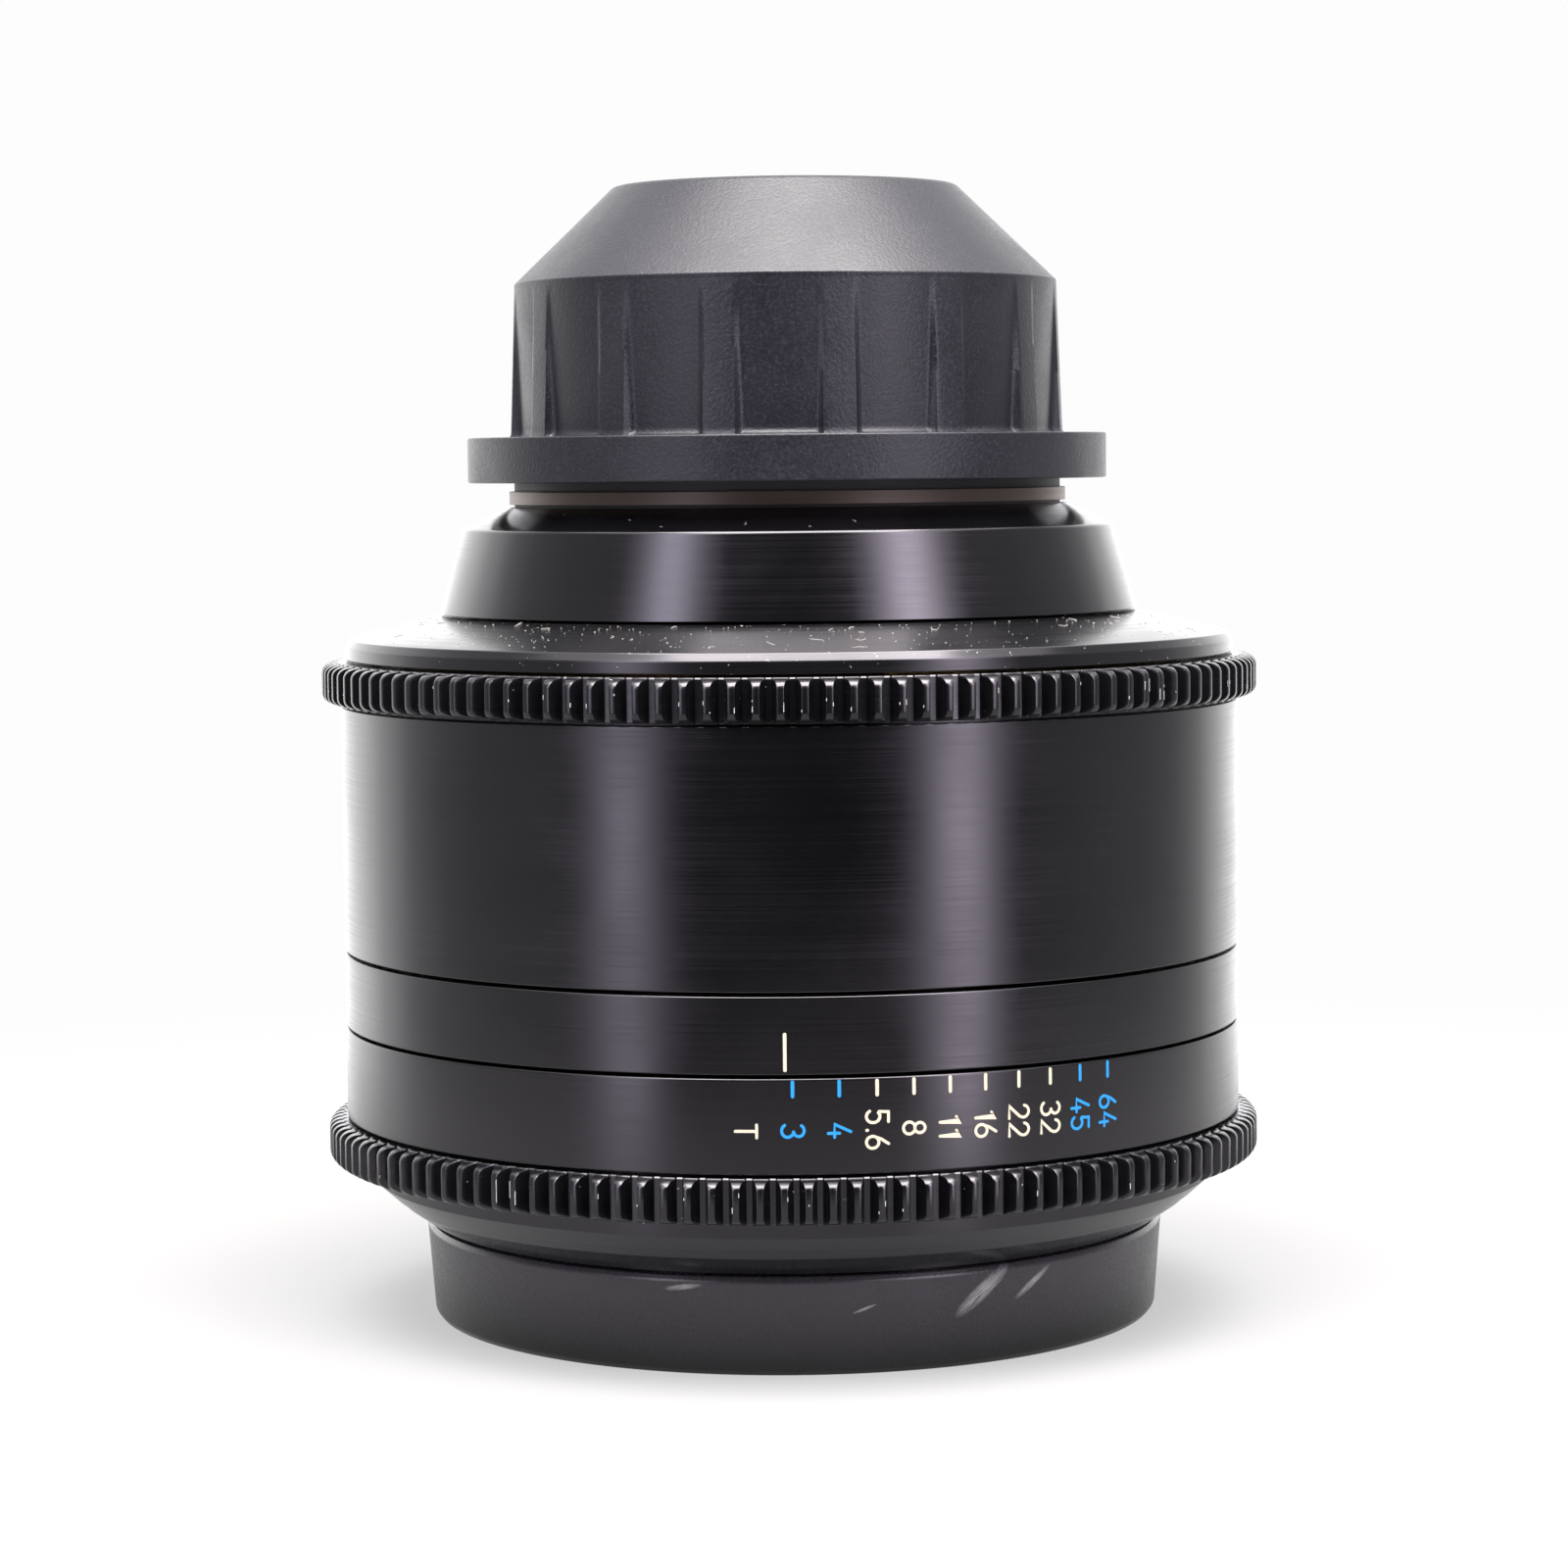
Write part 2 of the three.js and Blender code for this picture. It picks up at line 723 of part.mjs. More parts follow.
// Cap with a conical top, a skirt over the bayonet tabs, and flutes round the grip that run out
// to nothing at the top.
function rearCap() {
  const bore = MOUNT_TUBE_R + 1.5;
  const skirtBore = TAB_R + 1.0;
  const skirtCeiling = FLANGE_TOP + GAP;
  const ceiling = CAP_TOP - 2.5;
  let cap = turned(
    [
      [0, ceiling],
      [CAP_TOP_R - 1.2, ceiling],
      [bore, CAP_GRIP_TOP - 1.3],
      [bore, skirtCeiling],
      [skirtBore, skirtCeiling],
      [skirtBore, CAP_FOOT],
      [CAP_SKIRT_R, CAP_FOOT],
      [CAP_SKIRT_R, CAP_SKIRT_TOP],
      [CAP_GRIP_R, CAP_SKIRT_TOP],
      [CAP_GRIP_TOP_R, CAP_GRIP_TOP],
      [CAP_TOP_R, CAP_TOP],
      [0, CAP_TOP],
    ],
    2 * FLUTES,
  );
  const thickness = 6;
  const height = FLUTE_TOP - FLUTE_FOOT;
  const lean = (CAP_GRIP_TOP_R - FLUTE_FOOT_R) / height;
  const radius = (CAP_GRIP_TOP_R + FLUTE_FOOT_R + thickness) / 2;
  for (let flute = 0; flute < FLUTES; flute++) {
    const middle = -Math.PI / 2 + RIB_OFFSET + ((flute + 0.5) * 2 * Math.PI) / FLUTES;
    const panel = wrappedBar({
      start: middle + FLUTE_HALF_ANGLE,
      turn: -2 * FLUTE_HALF_ANGLE,
      thickness,
      height,
      lean,
      steps: 2,
      place: () => ({ radius, z: FLUTE_FOOT + height / 2 }),
    });
    cap = cap.subtract(panel);
  }
  return cap;
}

// Assembly: one group for each body that moves

function housingGroup() {
  const group = new THREE.Group();
  addPiece(group, "rear_housing", rearHousing(), satinBlack);
  addPiece(group, "mount_cone", mountCone(), satinBlack);
  addPiece(group, "mount_shim_ring", mountShimRing(), brownMetal);
  addPiece(group, "bayonet_mount", bayonetMount(), steel);
  addPiece(group, "rear_light_baffle", rearLightBaffle(), matteBlack);
  addPiece(group, "guide_tube", guideTube(), brass);
  for (let number = 0; number < TABS; number++) {
    addPiece(group, `mount_screw_${number + 1}`, mountScrew(number), steel);
  }
  return group;
}

function focusGroup() {
  const group = new THREE.Group();
  addPiece(group, "focus_barrel", focusBarrel(), barrelBlack);
  addPiece(group, "focus_gear_ring", gear(49.6, FOCUS_GEAR_FOOT, FOCUS_GEAR_TOP), gearBlack);
  addPiece(group, "cam_tube", camTube(), brass);
  return group;
}

function frontGroup() {
  const group = new THREE.Group();
  addPiece(group, "front_ring", frontRing(), satinBlack);
  addPiece(group, "front_retaining_ring", frontRetainingRing(), matteBlack);
  addPiece(group, "front_cell", frontCell(), matteBlack);
  addPiece(group, "iris_housing", irisHousing(), matteBlack);
  addPiece(group, "iris_base_plate", irisBasePlate(), matteBlack);
  addPiece(group, "index_ring", indexRing(), barrelBlack);
  addPiece(group, "inner_barrel", innerBarrel(), matteBlack);
  const cell = ring(CELL_BORE_R, REAR_CELL_R, REAR_CELL_FOOT, REAR_CELL_TOP, INNER_SIDES);
  addPiece(group, "rear_cell", cell, matteBlack);
  const spacer = ring(SPACER_BORE_R, ELEMENT_R, SPACER_FOOT, SPACER_TOP, GLASS_SIDES);
  addPiece(group, "rear_spacer", spacer, matteBlack);
  const retainer = ring(RETAINER_BORE_R, ELEMENT_R, RETAINER_FOOT, RETAINER_TOP, GLASS_SIDES);
  addPiece(group, "rear_retaining_ring", retainer, matteBlack);
  for (const [name, sizes] of Object.entries(ELEMENTS)) {
    addPiece(group, name, lensElement(sizes), glass);
  }
  for (let follower = 0; follower < FOLLOWERS; follower++) {
    const azimuth = followerAzimuth(follower);
    const pin = radialPin(FOLLOWER_R, FOLLOWER_IN_R, FOLLOWER_OUT_R, FOLLOWER_Z, azimuth);
    addPiece(group, `cam_follower_${follower + 1}`, pin, steel);
  }
  return group;
}

function irisGroup() {
  const group = new THREE.Group();
  addPiece(group, "t_scale_ring", tScaleRing(), barrelBlack);
  addPiece(group, "iris_gear_ring", gear(49.0, IRIS_GEAR_FOOT, IRIS_GEAR_TOP), gearBlack);
  addPiece(group, "iris_cam_ring", irisCamRing(), brass);
  const pin = radialPin(
    DRIVE_PIN_R,
    DRIVE_PIN_IN_R,
    DRIVE_PIN_OUT_R,
    DRIVE_PIN_Z,
    DRIVE_PIN_AZIMUTH,
  );
  addPiece(group, "iris_drive_pin", pin, steel);
  return group;
}

function bladesGroup() {
  const group = new THREE.Group();
  for (let blade = 0; blade < BLADES; blade++) {
    const mesh = addPiece(group, `iris_blade_${blade + 1}`, irisBlade(blade), bladeBlack);
    mesh.rotation.z = bladeAzimuth(blade);
  }
  return group;
}

function capsGroup() {
  const group = new THREE.Group();
  addPiece(group, "front_cap", frontCap(), capPlastic);
  addPiece(group, "rear_cap", rearCap(), capPlastic);
  return group;
}

const lens = new THREE.Group();
lens.add(housingGroup(), focusGroup(), frontGroup(), irisGroup(), bladesGroup(), capsGroup());

export default lens;
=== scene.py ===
"""A cinema macro lens standing on its front cap: the visible pieces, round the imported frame.

Profiles are in millimetres, as (radius, height, fillet) corners that run up the outside of a piece
and down its inside. Heights and radii come from the boxes of the CAD nodes. Azimuths are in degrees
from -Y, the side with the index line, and grow towards +X.
"""

import json
import math
import random

import bmesh
import bpy
from mathutils import Matrix, Vector


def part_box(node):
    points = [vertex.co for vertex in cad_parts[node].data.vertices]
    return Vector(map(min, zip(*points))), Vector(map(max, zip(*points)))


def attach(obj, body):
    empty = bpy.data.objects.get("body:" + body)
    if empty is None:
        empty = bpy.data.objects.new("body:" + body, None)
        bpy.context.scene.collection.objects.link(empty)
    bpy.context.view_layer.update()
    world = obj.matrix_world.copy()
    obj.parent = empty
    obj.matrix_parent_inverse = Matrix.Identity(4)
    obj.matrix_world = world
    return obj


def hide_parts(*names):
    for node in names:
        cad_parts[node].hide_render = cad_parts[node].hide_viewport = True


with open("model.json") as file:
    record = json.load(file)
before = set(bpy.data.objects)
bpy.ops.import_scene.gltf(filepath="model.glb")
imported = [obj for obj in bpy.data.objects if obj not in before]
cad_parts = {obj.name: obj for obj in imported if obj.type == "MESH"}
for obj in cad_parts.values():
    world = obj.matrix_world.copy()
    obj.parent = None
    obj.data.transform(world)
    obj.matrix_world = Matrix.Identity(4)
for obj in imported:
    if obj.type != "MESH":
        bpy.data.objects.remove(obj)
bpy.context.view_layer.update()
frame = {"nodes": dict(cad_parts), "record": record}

MM = 0.001
TURN = 2 * math.pi
SIDES = 288
FILLET_STEPS = 4
SUPPORT = 0.04
SHARP_ANGLE = math.radians(32)
BODY_OF = {
    node: body
    for body, nodes in frame["record"]["behaviour"]["bodies"].items()
    for node in nodes
}


def span(node):
    """Outer radius, foot and top of a turned CAD node, in millimetres."""
    low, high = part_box(node)
    return -low.y / MM, low.z / MM, high.z / MM


def on_ring(radius, azimuth, z):
    """Point in metres at a radius, an azimuth in degrees right of -Y, and a height."""
    angle = math.radians(azimuth)
    return Vector((radius * math.sin(angle), -radius * math.cos(angle), z)) * MM


# ---------------------------------------------------------------- materials


def add(tree, kind, settings=None, **inputs):
    node = tree.nodes.new(kind)
    for key, value in (settings or {}).items():
        setattr(node, key, value)
    for key, value in inputs.items():
        node.inputs[key.replace("_", " ")].default_value = value
    return node


def place(tree, scale):
    """The object's own coordinates, stretched by a scale along each axis."""
    coordinates = add(tree, "ShaderNodeTexCoord")
    mapping = add(tree, "ShaderNodeMapping", Scale=scale)
    tree.links.new(coordinates.outputs["Object"], mapping.inputs["Vector"])
    return mapping.outputs["Vector"]


def noise_value(tree, vector, scale, detail=3.0, roughness=0.55):
    texture = add(tree, "ShaderNodeTexNoise", Scale=scale, Detail=detail, Roughness=roughness)
    tree.links.new(vector, texture.inputs["Vector"])
    return texture.outputs["Fac"]


def remap(tree, value, low, high, to_low, to_high):
    node = add(tree, "ShaderNodeMapRange")
    node.inputs["From Min"].default_value = low
    node.inputs["From Max"].default_value = high
    node.inputs["To Min"].default_value = to_low
    node.inputs["To Max"].default_value = to_high
    tree.links.new(value, node.inputs["Value"])
    return node.outputs["Result"]


def combine(tree, operation, first, second):
    node = add(tree, "ShaderNodeMath", {"operation": operation})
    for slot, value in enumerate((first, second)):
        if isinstance(value, float):
            node.inputs[slot].default_value = value
        else:
            tree.links.new(value, node.inputs[slot])
    return node.outputs[0]


def mix_color(tree, factor, first, second):
    node = add(tree, "ShaderNodeMix", {"data_type": "RGBA"})
    tree.links.new(factor, node.inputs["Factor"])
    for name, value in (("A", first), ("B", second)):
        socket = [s for s in node.inputs if s.name == name and s.type == "RGBA"][0]
        if isinstance(value, tuple):
            socket.default_value = (*value, 1.0)
        else:
            tree.links.new(value, socket)
    return [s for s in node.outputs if s.type == "RGBA"][0]


def bump(tree, height, distance, strength=1.0, normal=None):
    node = add(tree, "ShaderNodeBump", Strength=strength, Distance=distance)
    tree.links.new(height, node.inputs["Height"])
    if normal is not None:
        tree.links.new(normal, node.inputs["Normal"])
    return node.outputs["Normal"]


def new_material(name, metallic, ior, tint=(1.0, 1.0, 1.0)):
    material = bpy.data.materials.new(name)
    material.use_nodes = True
    tree = material.node_tree
    shader = tree.nodes["Principled BSDF"]
    shader.inputs["Metallic"].default_value = metallic
    shader.inputs["IOR"].default_value = ior
    shader.inputs["Specular Tint"].default_value = (*tint, 1.0)
    return material, tree, shader


def speckle(tree, scale, amount, soft=0.06):
    """Small spots over a share of the surface, from 0 to 1."""
    vector = place(tree, (1.0, 1.0, 1.0))
    spots = noise_value(tree, vector, scale, detail=2.0, roughness=0.7)
    return remap(tree, spots, amount, amount + soft, 0.0, 1.0)


def turned_metal(
    name, color, roughness, line_pitch=0.16, line_depth=0.0016, aniso=0.0, metallic=0.0,
    ior=1.6, tint=(0.97, 0.93, 1.0), dust=None, blotch=0.05,
):
    """Metal with the fine lines of the lathe round it, uneven polish and a little dust."""
    material, tree, shader = new_material(name, metallic, ior, tint)
    lines = noise_value(tree, place(tree, (14.0, 14.0, 1000.0 / line_pitch)), 1.0, 2.0, 0.7)
    waves = noise_value(tree, place(tree, (30.0, 30.0, 420.0)), 1.0, 3.0)
    cloud = noise_value(tree, place(tree, (1.0, 1.0, 1.0)), 70.0, 4.0)
    polish = remap(tree, cloud, 0.3, 0.7, roughness - blotch, roughness + blotch)
    streak = remap(tree, lines, 0.3, 0.7, -0.04, 0.05)
    total = combine(tree, "ADD", polish, streak)
    shade = mix_color(tree, lines, color, tuple(1.7 * c for c in color))
    if dust is not None:
        spots = speckle(tree, *dust)
        shade = mix_color(tree, spots, shade, (0.32, 0.31, 0.29))
        total = combine(tree, "ADD", total, combine(tree, "MULTIPLY", spots, 0.4))
    tree.links.new(shade, shader.inputs["Base Color"])
    tree.links.new(total, shader.inputs["Roughness"])
    coarse = bump(tree, waves, 0.006 * MM, 0.35)
    tree.links.new(bump(tree, lines, line_depth * MM, 0.6, coarse), shader.inputs["Normal"])
    if aniso > 0:
        shader.inputs["Anisotropic"].default_value = aniso
        shader.inputs["Anisotropic Rotation"].default_value = 0.25
        tangent = add(tree, "ShaderNodeTangent", {"direction_type": "RADIAL", "axis": "Z"})
        tree.links.new(tangent.outputs[0], shader.inputs["Tangent"])
    return material


SCUFF_DEPTH = 16.0


def scuff(tree, azimuth, z, radius, slope, length, width):
    """Rubbed patch round a point of a cylinder, from 0 to 1, made of fine streaks along it."""
    angle = math.radians(azimuth)
    lean = math.radians(slope)
    across_wall = Vector((math.cos(angle), math.sin(angle), 0))
    along = across_wall * math.cos(lean) + Vector((0, 0, math.sin(lean)))
    aside = Vector((0, 0, math.cos(lean))) - across_wall * math.sin(lean)
    offset = add(tree, "ShaderNodeVectorMath", {"operation": "SUBTRACT"})
    tree.links.new(place(tree, (1.0, 1.0, 1.0)), offset.inputs[0])
    offset.inputs[1].default_value = on_ring(radius, azimuth, z)
    shares = []
    outward = Vector((math.sin(angle), -math.cos(angle), 0))
    for axis, size in ((along, length), (aside, width), (outward, SCUFF_DEPTH)):
        dot = add(tree, "ShaderNodeVectorMath", {"operation": "DOT_PRODUCT"})
        tree.links.new(offset.outputs[0], dot.inputs[0])
        dot.inputs[1].default_value = axis / (size / 2 * MM)
        shares.append(dot.outputs["Value"])
    squares = [combine(tree, "MULTIPLY", share, share) for share in shares]
    total = combine(tree, "ADD", combine(tree, "ADD", squares[0], squares[1]), squares[2])
    patch = remap(tree, total, 0.15, 1.0, 1.0, 0.0)
    streaks = add(tree, "ShaderNodeCombineXYZ")
    tree.links.new(combine(tree, "MULTIPLY", shares[0], 0.8), streaks.inputs["X"])
    tree.links.new(combine(tree, "MULTIPLY", shares[1], 3.5), streaks.inputs["Y"])
    texture = noise_value(tree, streaks.outputs[0], 1.7, 4.0, 0.7)
    return combine(tree, "MULTIPLY", patch, remap(tree, texture, 0.38, 0.6, 0.0, 1.0))


def grained_plastic(
    name, color, roughness, grain, depth, ior=1.5, dust=None, tint=(1.0, 0.98, 1.0),
    scuffs=(), shaded_foot_color=None, fleck=2.4,
):
    """Moulded plastic with a fine pebbled grain, rubbed unevenly."""
    material, tree, shader = new_material(name, 0.0, ior, tint)
    vector = place(tree, (1.0, 1.0, 1.0))
    pebbles = noise_value(tree, vector, 1000.0 / grain, 2.0, 0.6)
    cloud = noise_value(tree, vector, 90.0, 5.0, 0.6)
    lighter = tuple(1.35 * c for c in color)
    shade = mix_color(tree, remap(tree, cloud, 0.3, 0.75, 0.0, 1.0), color, lighter)
    flecks = remap(tree, pebbles, 0.52, 0.7, 0.0, 1.0)
    shade = mix_color(tree, flecks, shade, tuple(fleck * c for c in color))
    # Painted shade: with a shaded foot colour, the colour gets darker towards the bottom, from the
    # plain colour at the top to the shaded colour at the foot.
    if shaded_foot_color is not None:
        split = add(tree, "ShaderNodeSeparateXYZ")
        tree.links.new(vector, split.inputs[0])
        rise = remap(tree, split.outputs["Z"], 1.5 * MM, 8.5 * MM, 0.0, 1.0)
        shade = mix_color(tree, rise, shaded_foot_color, shade)
    if dust is not None:
        shade = mix_color(tree, speckle(tree, *dust), shade, (0.3, 0.29, 0.27))
    rough = remap(tree, cloud, 0.3, 0.7, roughness - 0.06, roughness + 0.06)
    rough = combine(tree, "ADD", rough, remap(tree, pebbles, 0.3, 0.7, -0.05, 0.07))
    for patch in scuffs:
        mask = scuff(tree, *patch)
        shade = mix_color(tree, mask, shade, (0.42, 0.41, 0.42))
        rough = combine(tree, "ADD", rough, combine(tree, "MULTIPLY", mask, 0.25))
    tree.links.new(shade, shader.inputs["Base Color"])
    tree.links.new(rough, shader.inputs["Roughness"])
    tree.links.new(bump(tree, pebbles, depth * MM, 1.0), shader.inputs["Normal"])
    return material


def paint(name, color):
    """Engraved enamel, slightly uneven."""
    material, tree, shader = new_material(name, 0.0, 1.45)
    cloud = noise_value(tree, place(tree, (1.0, 1.0, 1.0)), 2600.0, 3.0)
    darker = tuple(0.8 * c for c in color)
    tree.links.new(mix_color(tree, cloud, darker, color), shader.inputs["Base Color"])
    tree.links.new(remap(tree, cloud, 0.2, 0.8, 0.42, 0.62), shader.inputs["Roughness"])
    tree.links.new(bump(tree, cloud, 0.01 * MM, 0.5), shader.inputs["Normal"])
    return material


def coated_glass():
    material, tree, shader = new_material("coated_glass", 0.0, 1.62)
    shader.inputs["Transmission Weight"].default_value = 1.0
    shader.inputs["Thin Film Thickness"].default_value = 380.0
    shader.inputs["Thin Film IOR"].default_value = 1.38
    smear = noise_value(tree, place(tree, (1.0, 1.0, 1.0)), 180.0, 4.0)
    tree.links.new(remap(tree, smear, 0.35, 0.8, 0.004, 0.05), shader.inputs["Roughness"])
    tint = mix_color(tree, smear, (0.90, 0.95, 0.98), (0.97, 0.97, 0.93))
    tree.links.new(tint, shader.inputs["Base Color"])
    return material


ANODISED = (0.0012, 0.0011, 0.0015)
BARREL = turned_metal("barrel_black", ANODISED, 0.2, aniso=0.2, ior=1.62, line_depth=0.0008)
SATIN = turned_metal(
    "satin_black", ANODISED, 0.175, line_pitch=0.1, aniso=0.1, line_depth=0.0004
)
DECK = turned_metal(
    "satin_black_dusty", (0.0025, 0.0025, 0.003), 0.2, aniso=0.6, ior=1.56, dust=(1500.0, 0.70, 0.05),
    line_depth=0.0005,
)
GEAR = turned_metal(
    "gear_black", (0.002, 0.002, 0.0025), 0.2, line_pitch=0.3, ior=1.6, dust=(900.0, 0.74, 0.03)
)
NOSE = turned_metal("satin_black_nose", (0.004, 0.004, 0.005), 0.16, line_pitch=0.12, aniso=0.2)
LACQUER = turned_metal("matte_black", (0.006, 0.006, 0.006), 0.62, line_pitch=0.7, line_depth=0.02)
BROWN = turned_metal(
    "brown_metal", (0.05, 0.036, 0.031), 0.42, metallic=0.35, tint=(1.0, 0.9, 0.85), aniso=0.3
)
STEEL = turned_metal(
    "turned_steel", (0.52, 0.52, 0.54), 0.24, metallic=1.0, aniso=0.5, tint=(1.0, 1.0, 1.0)
)
BRASS = turned_metal(
    "machined_brass", (0.16, 0.105, 0.045), 0.42, metallic=1.0, aniso=0.4, tint=(1.0, 1.0, 1.0)
)
BLADE = turned_metal("blade_black", (0.03, 0.03, 0.034), 0.4, metallic=0.6, line_pitch=2.0)
CAP = grained_plastic(
    "cap_plastic", (0.0052, 0.0054, 0.0088), 0.41, grain=0.36, depth=0.05, dust=(2200.0, 0.79, 0.04)
)
# Azimuth, height, radius, slope, length and width of each rubbed patch
SCUFFS = (
    (28.5, 8.2, 42.3, 38.0, 8.5, 1.9), (37.5, 8.4, 42.3, 34.0, 6.0, 0.9),
    (-16.5, 9.6, 42.4, 8.0, 4.5, 0.7), (10.0, 7.2, 42.2, 20.0, 3.0, 0.35),
)
# The front cap's colour is painted light: a painted reflection makes it lighter towards the top, and
# painted shade makes it darker towards the foot.
FRONT_CAP = grained_plastic(
    "front_cap_plastic", (0.026, 0.0235, 0.029), 0.27, grain=0.5, depth=0.006, ior=1.54,
    shaded_foot_color=(0.003, 0.0027, 0.0036), fleck=1.25, scuffs=SCUFFS,
)
GLASS = coated_glass()
CREAM = paint("cream_enamel", (0.66, 0.59, 0.46))
BLUE = paint("blue_enamel", (0.012, 0.27, 0.72))
FLUFF = paint("dust_fibre", (0.60, 0.57, 0.53))
# Pale strokes on the gear teeth: bare metal of worn chips, and partly painted glints on the tooth
# corners.
BARE_AND_GLINT = paint("bare_aluminium_and_glint", (0.62, 0.62, 0.63))


# ---------------------------------------------------------------- shapes


def make_piece(name, vertices, faces, material, body, replaced=(), sharp=SHARP_ANGLE):
    """Mesh from points in metres. Coinciding points are welded and smooth faces are kept smooth."""
    mesh = bpy.data.meshes.new(name)
    mesh.from_pydata(vertices, [], faces)
    work = bmesh.new()
    work.from_mesh(mesh)
    bmesh.ops.remove_doubles(work, verts=work.verts, dist=1e-7)
    work.to_mesh(mesh)
    work.free()
    mesh.shade_smooth()
    mesh.set_sharp_from_angle(angle=sharp)
    mesh.materials.append(material)
    obj = bpy.data.objects.new(name, mesh)
    bpy.context.scene.collection.objects.link(obj)
    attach(obj, body)
    if replaced:
        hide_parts(*replaced)
    return obj


def rounded(corners, closed=True):
    """Points of an outline whose corners are eased over their third number."""
    points = []
    count = len(corners)
    for i, (r, z, ease) in enumerate(corners):
        corner = Vector((r, z))
        if ease == 0 or (not closed and i in (0, count - 1)):
            points.append(corner)
            continue
        before = Vector(corners[i - 1][:2]) - corner
        after = Vector(corners[(i + 1) % count][:2]) - corner
        reach = min(ease, 0.4 * before.length, 0.4 * after.length)
        start = corner + before.normalized() * reach
        end = corner + after.normalized() * reach
        points.append(start + before.normalized() * SUPPORT)
        for step in range(FILLET_STEPS + 1):
            t = step / FILLET_STEPS
            points.append(start.lerp(corner, t).lerp(corner.lerp(end, t), t))
        points.append(end + after.normalized() * SUPPORT)
    return points


def swept(outline, sides, closed):
    """Points and faces of an outline turned round the axis. The outline may change with azimuth."""
    vertices = []
    for side in range(sides):
        angle = TURN * side / sides
        for point in outline(angle):
            vertices.append(
                (point.x * math.cos(angle) * MM, point.x * math.sin(angle) * MM, point.y * MM)
            )
    count = len(vertices) // sides
    faces = []
    for side in range(sides):
        here = side * count
        there = (side + 1) % sides * count
        for i in range(count if closed else count - 1):
            j = (i + 1) % count
            faces.append((here + i, there + i, there + j, here + j))
    return vertices, faces


def turned(node, corners, material, closed=True, sides=SIDES):
    """Piece turned from its profile in place of a CAD node."""
    points = rounded(corners, closed)
    vertices, faces = swept(lambda angle: points, sides, closed)
    return make_piece(
        node + "_turned", vertices, faces, material, BODY_OF[node], replaced=(node,)
    )


def gear(node, bore, phase):
    """Follow gear of module 0.8 whose teeth have rounded ends and eased edges."""
    tip, foot, top = span(node)
    teeth = 132
    root = tip - 1.8
    end_drop = 1.45
    end_run = 1.2
    edge = 0.09
    bevel = 0.14
    pitch = 360 / teeth

    def half_width(radius):
        share = (radius - root) / (tip - root)
        return pitch * (0.37 - 0.225 * share)

    def outline(radius, inset):
        """Corners of one tooth and the land after it, as azimuth from its middle and radius."""
        ease = math.degrees(edge / radius)
        half = half_width(radius)
        rise = [(-half, radius - edge), (-half + 0.3 * ease, radius - 0.3 * edge)]
        rise += [(-half + ease, radius)]
        low = half_width(root)
        flank = [(-low - 0.25 * ease, root), (-low + 0.5 * ease, root + 0.12)]
        left = [(a, r - inset) for a, r in flank + rise]
        return left + [(-a, r) for a, r in reversed(left)]

    levels = [(0.0, end_drop, bevel), (bevel, end_drop, 0.0)]
    steps = 6
    for step in range(1, steps + 1):
        turn = step / steps * math.pi / 2
        run = bevel + (end_run - bevel) * (1 - math.cos(turn))
        levels.append((run, end_drop * (1 - math.sin(turn)), 0.0))
    heights = [(foot + run, tip - drop, inset) for run, drop, inset in levels]
    heights += [(top - run, tip - drop, inset) for run, drop, inset in reversed(levels)]
    rings = []
    for z, radius, inset in heights:
        points = outline(radius, inset)
        ring = []
        for tooth in range(teeth):
            for azimuth, r in points:
                ring.append(on_ring(r, phase + tooth * pitch + azimuth, z))
        rings.append(ring)
    for z in (top, foot):
        ring = []
        for tooth in range(teeth):
            for azimuth, _ in outline(tip, 0.0):
                ring.append(on_ring(bore, phase + tooth * pitch + azimuth, z))
        rings.append(ring)
    count = len(rings[0])
    faces = []
    for level in range(len(rings)):
        here = level * count
        above = (level + 1) % len(rings) * count
        for i in range(count):
            j = (i + 1) % count
            faces.append((here + i, here + j, above + j, above + i))
    vertices = [v for ring in rings for v in ring]
    return make_piece(
        node + "_cut", vertices, faces, GEAR, BODY_OF[node], (node,),
        sharp=math.radians(40),
    )


# ---------------------------------------------------------------- housing


def build_housing():
    _, foot, top = span("rear_housing")
    rim = 50.9
    turned(
        "rear_housing",
        [
            (26.2, foot + 1, 0), (48.8, foot + 1, 0), (48.8, foot, 0.05), (rim, foot, 0.1),
            (rim, foot + 1.3, 0.12), (50.35, foot + 2.2, 0.12), (40.1, top, 0), (26.2, top, 0),
        ],
        DECK,
    )
    outer, foot, top = span("mount_cone")
    turned(
        "mount_cone",
        [
            (outer - 3.2, foot, 0), (outer, foot, 0.08), (37.3, top - 2.5, 0.25),
            (32.1, top, 0.1), (26.2, top, 0), (26.2, top - 3.8, 0), (34.1, top - 3.8, 0),
        ],
        SATIN,
    )
    outer, foot, top = span("mount_shim_ring")
    turned(
        "mount_shim_ring",
        [(26.2, foot, 0), (outer, foot, 0.08), (outer, top, 0.12), (26.2, top, 0)],
        BROWN,
    )
    _, foot, top = span("rear_light_baffle")
    turned(
        "rear_light_baffle",
        [(18, foot, 0.1), (24.6, foot, 0), (24.6, top, 0), (18.6, top, 0.1)],
        LACQUER,
    )


